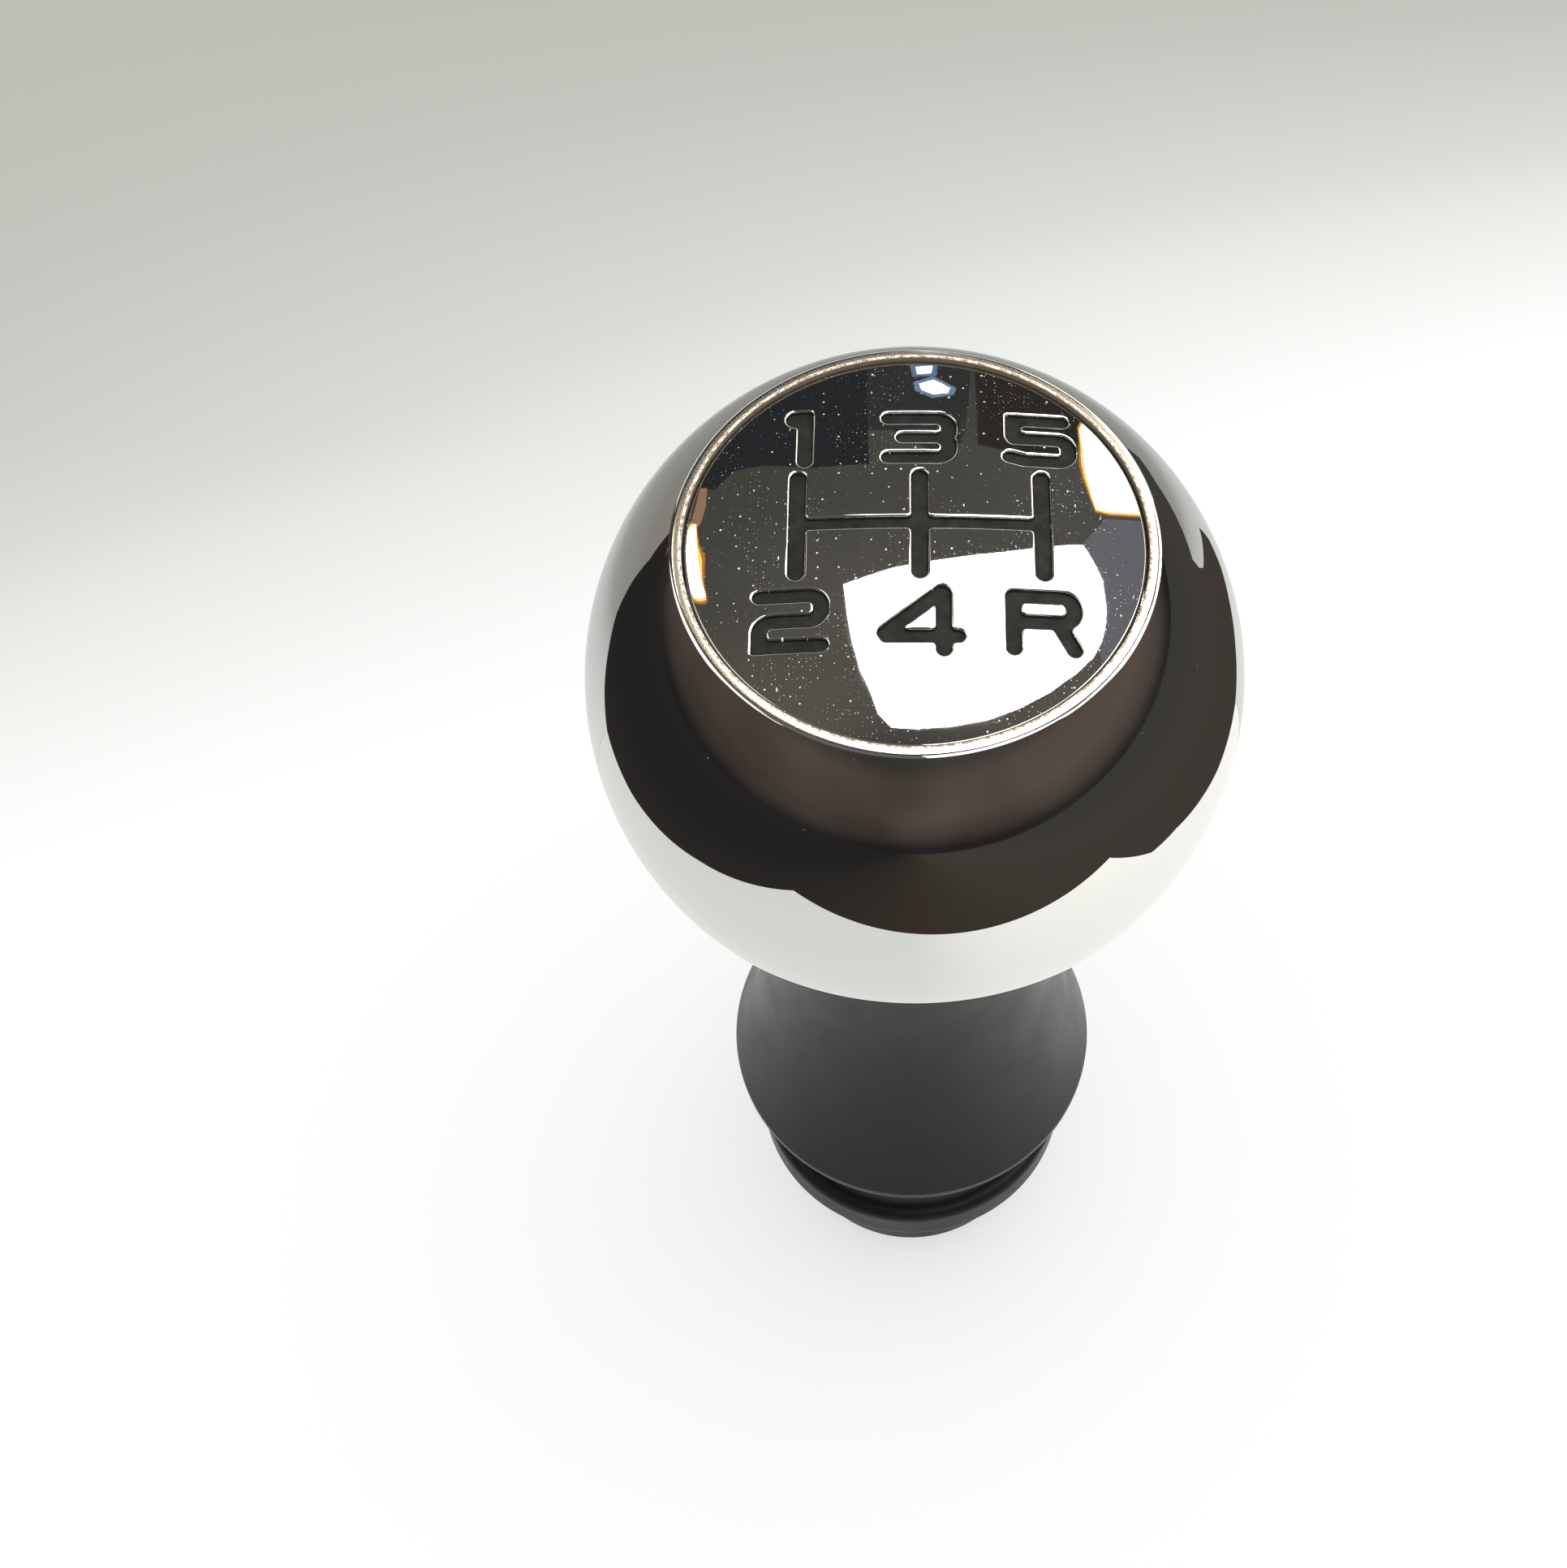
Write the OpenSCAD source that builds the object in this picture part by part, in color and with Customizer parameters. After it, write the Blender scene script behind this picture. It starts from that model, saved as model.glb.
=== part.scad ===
// Gear shift knob: a mirror-bright ball with an engraved domed pattern plate,
// standing on a flared black neck that ends in a collar for the lever gaiter.
// Millimetres, +Z up, origin at the centre of the foot that it stands on.

/* [Ball] */
// Diameter of the ball
ball_d = 50; // [48:0.5:54]
// Height of the ball's centre above the foot
ball_h = 95.5; // [92:0.5:104]
// Wall of the hollow ball
ball_wall = 2.4; // [2:0.1:3]
// Outer diameter of the flat lip round the plate
lip_d = 34.2; // [33:0.1:36]
// Width of the flat lip
lip_land = 0.65; // [0.4:0.05:0.9]
// Radius rolled round the lip's outer corner
lip_roll = 0.5; // [0.2:0.05:0.6]
// Thickness of the inner shelf that carries the plate
shelf_t = 2; // [1.6:0.1:2.6]
// Width of the shelf, measured in from the recess wall
shelf_w = 3.2; // [2.8:0.1:4]
// Thickness of the ball's base, from the neck's side to its flat inner seat
seat_t = 6; // [5.6:0.1:6.8]

/* [Pattern plate] */
// Gap round the plate
plate_gap = 0.15; // [0.1:0.05:0.4]
// Radius of the plate's domed face
dome_r = 95.7; // [80:0.5:140]
// Height of the dome's crown above the lip
crown_h = 1.03; // [0.8:0.01:1.3]
// Radius rolled round the plate's edge
edge_r = 0.75; // [0.3:0.05:0.8]
// Depth of the plate's underside below the lip
plate_drop = 2; // [1.8:0.1:2.6]
// Skin of the plate behind the engraving
plate_skin = 1.5; // [1.2:0.1:1.8]
// Radial width of the plate's foot ring
foot_ring_w = 2.9; // [2.2:0.1:3.4]
// Thickness of the adhesive ring under the plate
adhesive_t = 0.3; // [0.2:0.05:0.5]
// Diameter of the two locating pegs on the plate's back
peg_d = 1.6; // [1.2:0.1:1.8]
// Length of the pegs below the plate's foot
peg_l = 1.8; // [1.2:0.1:2]
// Clearance round each peg
peg_gap = 0.1; // [0.05:0.05:0.2]

/* [Engraving] */
// Depth of the engraving
engrave_depth = 0.45; // [0.3:0.05:0.6]
// Thickness of the black enamel on its floor
enamel_t = 0.12; // [0.08:0.02:0.2]
// Gap between the enamel and the engraving's walls
enamel_gap = 0.03; // [0.02:0.01:0.05]
// Width of the strokes of the numbers
digit_stroke = 1.06; // [0.9:0.02:1.2]
// Width of the gate's upright slots
gate_stroke = 1.16; // [0.9:0.02:1.3]
// Width of the gate's cross slot
cross_stroke = 0.96; // [0.8:0.02:1.2]
// Distance between the gate's columns
column_pitch = 8.6; // [8:0.1:8.8]
// Length of each upright slot, round ends included
gate_l = 9.25; // [8.4:0.05:9.4]
// Offset of the pattern from the plate's centre, to the right
pattern_x = 0.3; // [0:0.05:0.4]
// Offset of the pattern from the plate's centre, away from the driver
pattern_y = 1.1; // [0.8:0.05:1.2]
// Height of the upper row of numbers above the cross slot
row_up = 7.6; // [7.5:0.05:7.8]
// Distance of the lower row of numbers below the cross slot
row_down = 7.9; // [7.8:0.05:8]

/* [Core and lever fixing] */
// Bore of the threaded insert, the thread's core diameter
thread_d = 10.7; // [9:0.1:11]
// Outer diameter of the threaded insert
insert_d = 15.2; // [14.4:0.1:16]
// Length of the threaded insert
insert_l = 18; // [14:0.5:20]
// Depth of the grip groove round the insert
insert_groove = 0.7; // [0.4:0.1:1]
// Length of the relief above the thread
relief_l = 1.5; // [1:0.5:3]
// Width of the relief beyond the thread, all round
relief_w = 0.8; // [0.5:0.1:1.2]
// Diameter of the core's hub
hub_d = 20; // [18.8:0.2:21]
// Cap over the hub's blind end
hub_cap = 2.5; // [2:0.5:4]
// Room between the hub and the shelf above it
hub_room = 4; // [3:0.5:6]
// Clearance between the core's flange and the ball's cavity
flange_gap = 0.4; // [0.3:0.1:1]
// Thickness of the core's flange
flange_t = 2.5; // [2:0.1:3.5]
// Thickness of the core's ribs
rib_t = 1.8; // [1.4:0.1:2.4]
// Number of ribs round the core
rib_count = 6; // [4:1:8]
// Clearance between the core's ribs and the shelf's opening
rib_gap = 0.4; // [0.2:0.1:1]
// Wall of the core's threaded spigot, round the lever's channel
spigot_wall = 2; // [1.8:0.1:2.4]
// Clearance round the spigot
spigot_gap = 0.15; // [0.1:0.05:0.3]
// Length of spigot that shows past the ring nut
spigot_end = 1; // [0.5:0.5:2]
// Thickness of the ring nut on the spigot
nut_t = 4; // [3:0.5:5]
// Wall of the ring nut
nut_wall = 1.8; // [1.6:0.1:2]
// Clearance between the ring nut and the neck's hollow
nut_gap = 0.3; // [0.2:0.1:0.6]
// Width of the spanner slots in the ring nut
nut_slot_w = 3; // [2:0.2:4]
// Depth of the spanner slots in the ring nut
nut_slot_d = 0.9; // [0.6:0.1:1.1]

/* [Neck] */
// Diameter of the neck where it meets the ball
neck_d = 25; // [24.6:0.2:27]
// Thickness of the neck's web under the ball
neck_web_t = 3; // [2.5:0.5:5]
// Height where the neck starts to flare
flare_h = 60; // [54:1:66]
// Largest diameter of the neck's rolled rim
rim_d = 35.3; // [34.6:0.1:37]
// Height of the rim's lower edge
rim_h = 26.9; // [26:0.1:28]
// Height of the rim's upright band, its rounds included
rim_band = 2.4; // [2.1:0.1:3]
// Radius rolled round the rim
rim_r = 1; // [0.6:0.1:1.05]
// Overhang of the rim beyond the mouth's wall
rim_overhang = 0.55; // [0.2:0.05:0.9]
// Wall of the neck
neck_wall = 2; // [1.6:0.1:2.4]
// Clearance between the ball and the neck's hollow top
seat_gap = 0.05; // [0.02:0.01:0.1]

/* [Gaiter collar] */
// Diameter of the foot
foot_d = 25.4; // [24.6:0.2:26.4]
// Height of the foot's upright wall
foot_h = 7.4; // [6.5:0.1:8]
// Chamfer round the foot's lower edge
foot_chamfer = 0.8; // [0.4:0.1:1.2]
// Diameter of the collar's bead
bead_d = 31.4; // [30.6:0.2:32.4]
// Height of the bead's lower edge
bead_h = 10.4; // [10:0.1:11.4]
// Height of the bead, its rounds included
bead_t = 5.4; // [4.6:0.1:6]
// Radius rolled round the bead
bead_r = 1.2; // [0.6:0.1:1.5]
// Diameter of the gaiter's seat above the bead
gaiter_seat_d = 28.8; // [28:0.1:29.6]
// Wall of the collar
collar_wall = 1.9; // [1.6:0.1:2.2]
// Length of the collar's plug, which snaps into the neck
plug_l = 6.1; // [5:0.1:7]
// Clearance between the plug and the neck
plug_gap = 0.1; // [0.05:0.05:0.2]
// Height that the plug's snap ridge stands out
snap_h = 0.35; // [0.2:0.05:0.4]
// Height of the snap ridge above the rim's lower edge
snap_rise = 3.4; // [3:0.1:3.8]
// Height of the web that holds the grommet
web_h = 3.2; // [2.8:0.1:4]
// Thickness of that web
web_t = 2.2; // [1.8:0.1:2.6]
// Number of ribs inside the collar
collar_rib_count = 8; // [6:1:10]
// Thickness of those ribs
collar_rib_t = 1.2; // [1:0.1:1.6]
// Height to which the collar's ribs reach
collar_rib_top_h = 22; // [16:1:24]

/* [Lever grommet] */
// Wall of the grommet's waist, round the bore that guides the lever
grommet_wall = 1.8; // [1.4:0.1:2]
// Width of the grommet's lips beyond its waist
grommet_lip_w = 1.7; // [1.2:0.1:2]
// Clearance between the grommet's lips and the foot's inner wall
grommet_gap = 1.2; // [0.8:0.1:2]
// Thickness of each lip
grommet_lip_t = 1.6; // [1.2:0.1:2]

/* [Hidden] */
$fn = 96;

ball_r = ball_d / 2;
cavity_r = ball_r - ball_wall;
lip_r = lip_d / 2;
lip_h = ball_h + sqrt(ball_r * ball_r - lip_r * lip_r);
lip_roll_x = sqrt(pow(ball_r - lip_roll, 2) - pow(lip_h - lip_roll - ball_h, 2));
lip_roll_h = ball_h + (lip_h - lip_roll - ball_h) * ball_r / (ball_r - lip_roll);
recess_r = lip_r - lip_land;
plate_r = recess_r - plate_gap;
plate_foot_h = lip_h - plate_drop;
shelf_h = plate_foot_h - adhesive_t;
shelf_r = recess_r - shelf_w;
crown_top_h = lip_h + crown_h;
dome_centre_h = crown_top_h - dome_r;
edge_x = plate_r - edge_r;
edge_h = dome_centre_h + sqrt(pow(dome_r - edge_r, 2) - edge_x * edge_x);
roll_x = edge_x * dome_r / (dome_r - edge_r);
plate_inner_r = plate_r - foot_ring_w;
peg_ring_r = (shelf_r + plate_r) / 2;
inner_seat_h = ball_h - ball_r + seat_t;
seat_r = sqrt(cavity_r * cavity_r - pow(ball_r - seat_t, 2));

neck_r = neck_d / 2;
neck_web_h = ball_h - ball_r - neck_web_t;
nut_r = neck_r - neck_wall - nut_gap;
spigot_r = nut_r - nut_wall;
channel_r = spigot_r - spigot_wall;
opening_r = spigot_r + spigot_gap;
spigot_end_h = neck_web_h - nut_t - spigot_end;

flange_r = seat_r - flange_gap;
rib_reach = shelf_r - rib_gap;
hub_top_h = shelf_h - shelf_t - hub_room;
insert_h = hub_top_h - hub_cap - relief_l - insert_l;

// The flare is one concave arc that runs smoothly into the rim's upper roll
roll_centre_r = rim_d / 2 - rim_r;
roll_centre_h = rim_h + rim_band - rim_r;
flare_drop = flare_h - roll_centre_h;
flare_swell = roll_centre_r - neck_r;
flare_r = (flare_drop * flare_drop + flare_swell * flare_swell - rim_r * rim_r)
    / (2 * (rim_r + flare_swell));
flare_foot = rim_r / (flare_r + rim_r);
flare_end_r = roll_centre_r + (neck_r + flare_r - roll_centre_r) * flare_foot;
flare_end_h = roll_centre_h + flare_drop * flare_foot;
mouth_r = rim_d / 2 - rim_overhang - neck_wall;
plug_top_h = rim_h + plug_l;

well_r = foot_d / 2 - collar_wall;
grommet_lip_r = well_r - grommet_gap;
waist_r = grommet_lip_r - grommet_lip_w;
guide_r = waist_r - grommet_wall;

// Small step that lets a cut run past the face it opens
past = 1;

// A flat stroke with round ends from one point to another
module stroke(x1, y1, x2, y2, width) {
    length = sqrt(pow(x2 - x1, 2) + pow(y2 - y1, 2));
    translate([x1, y1]) circle(d = width);
    translate([x2, y2]) circle(d = width);
    translate([x1, y1]) rotate(atan2(y2 - y1, x2 - x1))
        translate([0, -width / 2]) square([length, width]);
}

// A quarter of a ring; side_x and side_y, each 1 or -1, pick the quarter
module bend(x, y, radius, side_x, side_y, width) {
    reach = radius + width;
    intersection() {
        translate([x, y]) difference() {
            circle(r = radius + width / 2);
            circle(r = radius - width / 2);
        }
        translate([x + (side_x < 0 ? -reach : 0), y + (side_y < 0 ? -reach : 0)]) square(reach);
    }
}

// The number shapes below are drawn about their own middle, with strokes of one width.
// arm is the height of the upper arm, turn the radius of the corners, and a share thins a stroke.

module one(width) {
    stem_x = 0.45;
    stem_low_y = -2.02;
    stem_top_y = 1.6;
    flag_x = -0.25;
    flag_y = 2;
    flag_r = 0.74;
    corner_r = 0.36;
    right_x = stem_x + width / 2;
    stroke(stem_x, stem_low_y, stem_x, stem_top_y, width);
    translate([flag_x, flag_y]) circle(r = flag_r);
    translate([flag_x, flag_y - flag_r]) square([right_x - flag_x, 2 * flag_r - corner_r]);
    translate([flag_x, flag_y]) square([right_x - flag_x - corner_r, flag_r]);
    translate([right_x - corner_r, flag_y + flag_r - corner_r]) circle(r = corner_r);
}

module two(width) {
    arm = 2.05;
    turn = 0.85;
    left_x = -2.45;
    right_x = 1.8;
    middle_y = 0.08;
    lower_y = -1.84;
    bend_x = right_x - turn;
    stroke(left_x, arm, bend_x, arm, width);
    bend(bend_x, arm - turn, turn, 1, 1, width);
    stroke(right_x, arm - turn, right_x, middle_y + turn, width);
    bend(bend_x, middle_y + turn, turn, 1, -1, width);
    stroke(bend_x, middle_y, left_x + turn, middle_y, width);
    bend(left_x + turn, middle_y - turn, turn, -1, 1, width);
    stroke(left_x, middle_y - turn, left_x, lower_y, width);
    stroke(left_x, lower_y, right_x, lower_y, width);
    translate([left_x - width / 2, lower_y - width / 2]) square(width / 2);
}

module three(width) {
    arm = 1.84;
    turn = 0.85;
    waist_turn = 0.6;
    left_x = -2.2;
    right_x = 2.1;
    middle_x = -1.2;
    middle_share = 0.88;
    bend_x = right_x - turn;
    for (side = [-1, 1]) {
        stroke(left_x, side * arm, bend_x, side * arm, width);
        bend(bend_x, side * (arm - turn), turn, 1, side, width);
        stroke(right_x, side * (arm - turn), right_x, side * waist_turn, width);
        bend(right_x - waist_turn, side * waist_turn, waist_turn, 1, -side, width);
    }
    stroke(middle_x, 0, right_x - waist_turn, 0, width * middle_share);
}

module four(width) {
    stem_x = 1.62;
    stem_top_y = 2.05;
    stem_low_y = -2.25;
    apex_x = 1.47;
    apex_y = 2.2;
    toe_x = -2.42;
    toe_y = -1;
    bar_left_x = -2.32;
    bar_right_x = 2.6;
    bar_y = -1.26;
    bar_share = 0.92;
    stroke(stem_x, stem_top_y, stem_x, stem_low_y, width);
    stroke(apex_x, apex_y, toe_x, toe_y, width);
    stroke(bar_left_x, bar_y, bar_right_x, bar_y, width * bar_share);
}

module five(width) {
    arm = 1.86;
    turn = 0.85;
    left_x = -1.9;
    right_x = 2.06;
    middle_y = 0.12;
    lower_y = -1.9;
    dip_x = -1.1;
    arm_end_x = 1.6;
    tail_x = -2.15;
    tail_y = -1.62;
    stem_low_y = 0.32;
    belly_x = -1.8;
    bend_x = right_x - turn;
    stroke(left_x, arm, arm_end_x, arm, width);
    translate([left_x - width / 2, arm]) square(width / 2);
    stroke(left_x, arm, left_x, stem_low_y, width);
    stroke(belly_x, middle_y, bend_x, middle_y, width);
    bend(bend_x, middle_y - turn, turn, 1, 1, width);
    stroke(right_x, middle_y - turn, right_x, lower_y + turn, width);
    bend(bend_x, lower_y + turn, turn, 1, -1, width);
    stroke(bend_x, lower_y, dip_x, lower_y, width);
    stroke(dip_x, lower_y, tail_x, tail_y, width);
}

module reverse(width) {
    arm = 1.98;
    turn = 0.88;
    left_x = -2.2;
    right_x = 1.98;
    leg_low_y = -2.05;
    leg_top_x = 1;
    leg_top_y = -0.3;
    leg_end_x = 1.95;
    bend_x = right_x - turn;
    stroke(left_x, arm, left_x, leg_low_y, width);
    stroke(left_x, arm, bend_x, arm, width);
    bend(bend_x, arm - turn, turn, 1, 1, width);
    stroke(right_x, arm - turn, right_x, turn, width);
    bend(bend_x, turn, turn, 1, -1, width);
    stroke(bend_x, 0, left_x, 0, width);
    stroke(leg_top_x, leg_top_y, leg_end_x, leg_low_y, width);
}

// The gate: three upright slots joined by a cross slot
module gate(upright, cross) {
    half = gate_l / 2 - gate_stroke / 2;
    for (column = [-1 : 1]) stroke(column * column_pitch, -half, column * column_pitch, half, upright);
    stroke(-column_pitch, 0, column_pitch, 0, cross);
}

// The whole pattern, with each stroke narrowed by inset on both sides
module pattern(inset) {
    width = digit_stroke - 2 * inset;
    translate([pattern_x, pattern_y]) {
        gate(gate_stroke - 2 * inset, cross_stroke - 2 * inset);
        translate([-column_pitch, row_up]) one(width);
        translate([0, row_up]) three(width);
        translate([column_pitch, row_up]) five(width);
        translate([-column_pitch, -row_down]) two(width);
        translate([0, -row_down]) four(width);
        translate([column_pitch, -row_down]) reverse(width);
    }
}

// The pattern as upright walls between two domes, each a depth below the plate's face
module pattern_between(inset, top_depth, floor_depth) {
    difference() {
        translate([0, 0, plate_foot_h]) linear_extrude(height = plate_drop + crown_h + past) pattern(inset);
        translate([0, 0, dome_centre_h]) sphere(r = dome_r - floor_depth);
        if (top_depth > 0) difference() {
            translate([0, 0, plate_foot_h]) cylinder(r = plate_r, h = plate_drop + crown_h + 2 * past);
            translate([0, 0, dome_centre_h]) sphere(r = dome_r - top_depth);
        }
    }
}

// Half section of the plate: dome, rolled edge and upright side
module plate_section() {
    intersection() {
        translate([0, plate_foot_h]) square([roll_x, plate_drop + crown_h]);
        translate([0, dome_centre_h]) circle(r = dome_r);
    }
    translate([edge_x, edge_h]) circle(r = edge_r);
    translate([0, plate_foot_h]) square([plate_r, edge_h - plate_foot_h]);
}

// Places its child at each of the plate's two pegs
module at_pegs() {
    for (side = [-1, 1]) translate([side * peg_ring_r, 0, 0]) children();
}

// Half section of the solid ball: flat lip on top, its corner rolled into the ball's curve
module ball_section() {
    foot = ball_h - ball_r;
    intersection() {
        translate([0, foot]) square([ball_r, lip_roll_h - foot]);
        translate([0, ball_h]) circle(r = ball_r);
    }
    translate([lip_roll_x, lip_h - lip_roll]) circle(r = lip_roll);
    translate([0, ball_h]) square([lip_roll_x, lip_h - ball_h]);
}

// Hollow chromed ball: flat lip, recess and shelf above, seat and opening below
module ball_shell() {
    color("gainsboro") difference() {
        rotate_extrude() ball_section();
        translate([0, 0, shelf_h]) cylinder(r = recess_r, h = lip_h - shelf_h + past);
        intersection() {
            translate([0, 0, ball_h]) sphere(r = cavity_r);
            translate([0, 0, inner_seat_h]) cylinder(r = ball_r, h = shelf_h - shelf_t - inner_seat_h);
        }
        translate([0, 0, inner_seat_h]) cylinder(r = shelf_r, h = lip_h - inner_seat_h);
        translate([0, 0, ball_h - ball_r - past]) cylinder(r = opening_r, h = ball_r);
        at_pegs() translate([0, 0, shelf_h - shelf_t - past])
            cylinder(r = peg_d / 2 + peg_gap, h = shelf_t + 2 * past);
    }
}

// Domed plate with the shift pattern cut into it and two locating pegs behind
module pattern_plate() {
    color("silver") difference() {
        union() {
            rotate_extrude() plate_section();
            at_pegs() translate([0, 0, plate_foot_h - peg_l]) cylinder(d = peg_d, h = peg_l + past);
        }
        intersection() {
            translate([0, 0, dome_centre_h]) sphere(r = dome_r - plate_skin);
            translate([0, 0, plate_foot_h - past]) cylinder(r = plate_inner_r, h = plate_drop + past);
        }
        pattern_between(0, 0, engrave_depth);
    }
}

// Black enamel on the floor of the engraving
module pattern_enamel() {
    color("darkslategray") pattern_between(enamel_gap, engrave_depth - enamel_t, engrave_depth);
}

// Double-sided adhesive ring between the shelf and the plate's foot
module adhesive_ring() {
    color("lightgray") difference() {
        translate([0, 0, shelf_h]) cylinder(r = plate_r, h = adhesive_t);
        translate([0, 0, shelf_h - past]) cylinder(r = plate_inner_r, h = adhesive_t + 2 * past);
        at_pegs() translate([0, 0, shelf_h - past])
            cylinder(r = peg_d / 2 + peg_gap, h = adhesive_t + 2 * past);
    }
}

// Solid outline of the insert, which the core is moulded round
module insert_body() {
    band = insert_l / 3;
    translate([0, 0, insert_h]) cylinder(d = insert_d, h = band);
    translate([0, 0, insert_h]) cylinder(d = insert_d - 2 * insert_groove, h = insert_l);
    translate([0, 0, insert_h + 2 * band]) cylinder(d = insert_d, h = band);
}

// Moulded core: ribbed hub, flange on the ball's inner seat, spigot down into the neck
module ball_core() {
    color("dimgray") difference() {
        union() {
            translate([0, 0, inner_seat_h]) cylinder(d = hub_d, h = hub_top_h - inner_seat_h);
            translate([0, 0, inner_seat_h]) cylinder(r = flange_r, h = flange_t);
            translate([0, 0, spigot_end_h]) cylinder(r = spigot_r, h = inner_seat_h - spigot_end_h + past);
            for (i = [0 : rib_count - 1]) rotate(i * 360 / rib_count)
                translate([0, -rib_t / 2, inner_seat_h + flange_t - past])
                    cube([rib_reach, rib_t, hub_top_h - inner_seat_h - flange_t]);
        }
        insert_body();
        translate([0, 0, insert_h + insert_l - past])
            cylinder(d = thread_d + 2 * relief_w, h = relief_l + past);
        translate([0, 0, spigot_end_h - past]) cylinder(r = channel_r, h = insert_h - spigot_end_h + past);
    }
}

// Brass insert that the lever's thread screws into
module lever_insert() {
    color("goldenrod") difference() {
        insert_body();
        translate([0, 0, insert_h - past]) cylinder(d = thread_d, h = insert_l + 2 * past);
    }
}

// Slotted ring nut that clamps ball and neck between itself and the core's flange
module ring_nut() {
    color("slategray") difference() {
        translate([0, 0, neck_web_h - nut_t]) cylinder(r = nut_r, h = nut_t);
        translate([0, 0, neck_web_h - nut_t - past]) cylinder(r = spigot_r, h = nut_t + 2 * past);
        for (i = [0 : 3]) rotate(i * 90)
            translate([nut_r - nut_slot_d, -nut_slot_w / 2, neck_web_h - nut_t - past])
                cube([nut_slot_d + past, nut_slot_w, nut_t + 2 * past]);
    }
}

// Half section under the neck's outside: straight neck, concave flare, less a skin
module flare_section(skin, low_h, top_h) {
    difference() {
        translate([0, low_h]) square([flare_end_r - skin, top_h - low_h]);
        translate([neck_r + flare_r, flare_h]) circle(r = flare_r + skin, $fn = 360);
        translate([neck_r - skin, flare_h]) square([ball_r, ball_h]);
    }
}

// Half section of an upright band with both outer corners rolled
module rolled_band(outer_r, low_h, band, roll) {
    translate([0, low_h]) square([outer_r - roll, band]);
    translate([0, low_h + roll]) square([outer_r, band - 2 * roll]);
    for (h = [low_h + roll, low_h + band - roll]) translate([outer_r - roll, h]) circle(r = roll);
}

// Flared black neck, hollow below its solid top, with a rolled rim at its mouth
module neck_skirt() {
    snap_mid_h = rim_h + snap_rise;
    color("darkslategray") difference() {
        rotate_extrude() {
            flare_section(0, flare_end_h, ball_h - neck_r);
            translate([0, rim_h + rim_r]) square([flare_end_r, flare_end_h - rim_h - rim_r]);
            rolled_band(rim_d / 2, rim_h, rim_band, rim_r);
        }
        translate([0, 0, ball_h]) sphere(r = ball_r + seat_gap);
        rotate_extrude() flare_section(neck_wall, plug_top_h, neck_web_h);
        translate([0, 0, rim_h - past]) cylinder(r = mouth_r, h = plug_top_h - rim_h + past + plug_gap);
        translate([0, 0, neck_web_h - past]) cylinder(r = opening_r, h = ball_h - neck_web_h);
        translate([0, 0, snap_mid_h]) rotate_extrude()
            translate([mouth_r, 0]) circle(r = snap_h, $fn = 24);
    }
}

// Half section of the collar's outside: foot, underside of the bead, bead, seat and plug
module collar_section() {
    foot_r = foot_d / 2;
    ring_top_h = bead_h + bead_t;
    plug_r = mouth_r - plug_gap;
    polygon([[0, 0], [foot_r - foot_chamfer, 0], [foot_r, foot_chamfer], [foot_r, foot_h],
             [bead_d / 2 - bead_r, bead_h], [0, bead_h]]);
    rolled_band(bead_d / 2, bead_h, bead_t, bead_r);
    translate([0, ring_top_h - past]) square([gaiter_seat_d / 2, rim_h - ring_top_h + past]);
    translate([0, rim_h - past]) square([plug_r, plug_top_h - rim_h + past]);
    translate([plug_r, rim_h + snap_rise]) circle(r = snap_h - plug_gap / 2, $fn = 24);
}

// Upright ribs along the collar's inner wall, standing on the web
module collar_ribs(inner_r) {
    rib_foot_h = web_h + web_t / 2;
    difference() {
        for (i = [0 : collar_rib_count - 1]) rotate(i * 360 / collar_rib_count)
            translate([0, -collar_rib_t / 2, rib_foot_h])
                cube([gaiter_seat_d / 2, collar_rib_t, collar_rib_top_h - rib_foot_h]);
        cylinder(r = inner_r, h = collar_rib_top_h + past);
    }
}

// Collar below the neck: foot, bead, gaiter seat and the plug that snaps into the neck
module gaiter_collar() {
    bore_r = gaiter_seat_d / 2 - collar_wall;
    color("black") difference() {
        rotate_extrude() collar_section();
        difference() {
            union() {
                translate([0, 0, -past]) cylinder(r = well_r, h = bead_h + past);
                translate([0, 0, bead_h]) cylinder(r = bore_r, h = plug_top_h);
            }
            translate([0, 0, web_h]) cylinder(r = well_r + past, h = web_t);
            collar_ribs(grommet_lip_r + plug_gap);
        }
        translate([0, 0, web_h - past]) cylinder(r = waist_r, h = web_t + 2 * past);
    }
}

// Rubber grommet that centres the collar on the lever
module lever_grommet() {
    low_h = web_h - grommet_lip_t;
    color("dimgray") difference() {
        union() {
            translate([0, 0, low_h]) cylinder(r = grommet_lip_r, h = grommet_lip_t);
            translate([0, 0, low_h]) cylinder(r = waist_r, h = web_t + 2 * grommet_lip_t);
            translate([0, 0, web_h + web_t]) cylinder(r = grommet_lip_r, h = grommet_lip_t);
        }
        translate([0, 0, low_h - past]) cylinder(r = guide_r, h = web_t + 2 * grommet_lip_t + 2 * past);
    }
}

ball_shell();
pattern_plate();
pattern_enamel();
adhesive_ring();
ball_core();
lever_insert();
ring_nut();
neck_skirt();
gaiter_collar();
lever_grommet();
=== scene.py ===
"""Dresses the gear shift knob: mirror-bright ball, engraved plate, enamel and black neck, and their studio.

Shapes are worked out in millimetres and put into the meshes in metres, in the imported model's own frame.
"""

import math

import bpy
import numpy as np
from bpy.props import FloatProperty, FloatVectorProperty, PointerProperty
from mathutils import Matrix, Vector
from mathutils.geometry import delaunay_2d_cdt


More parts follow.
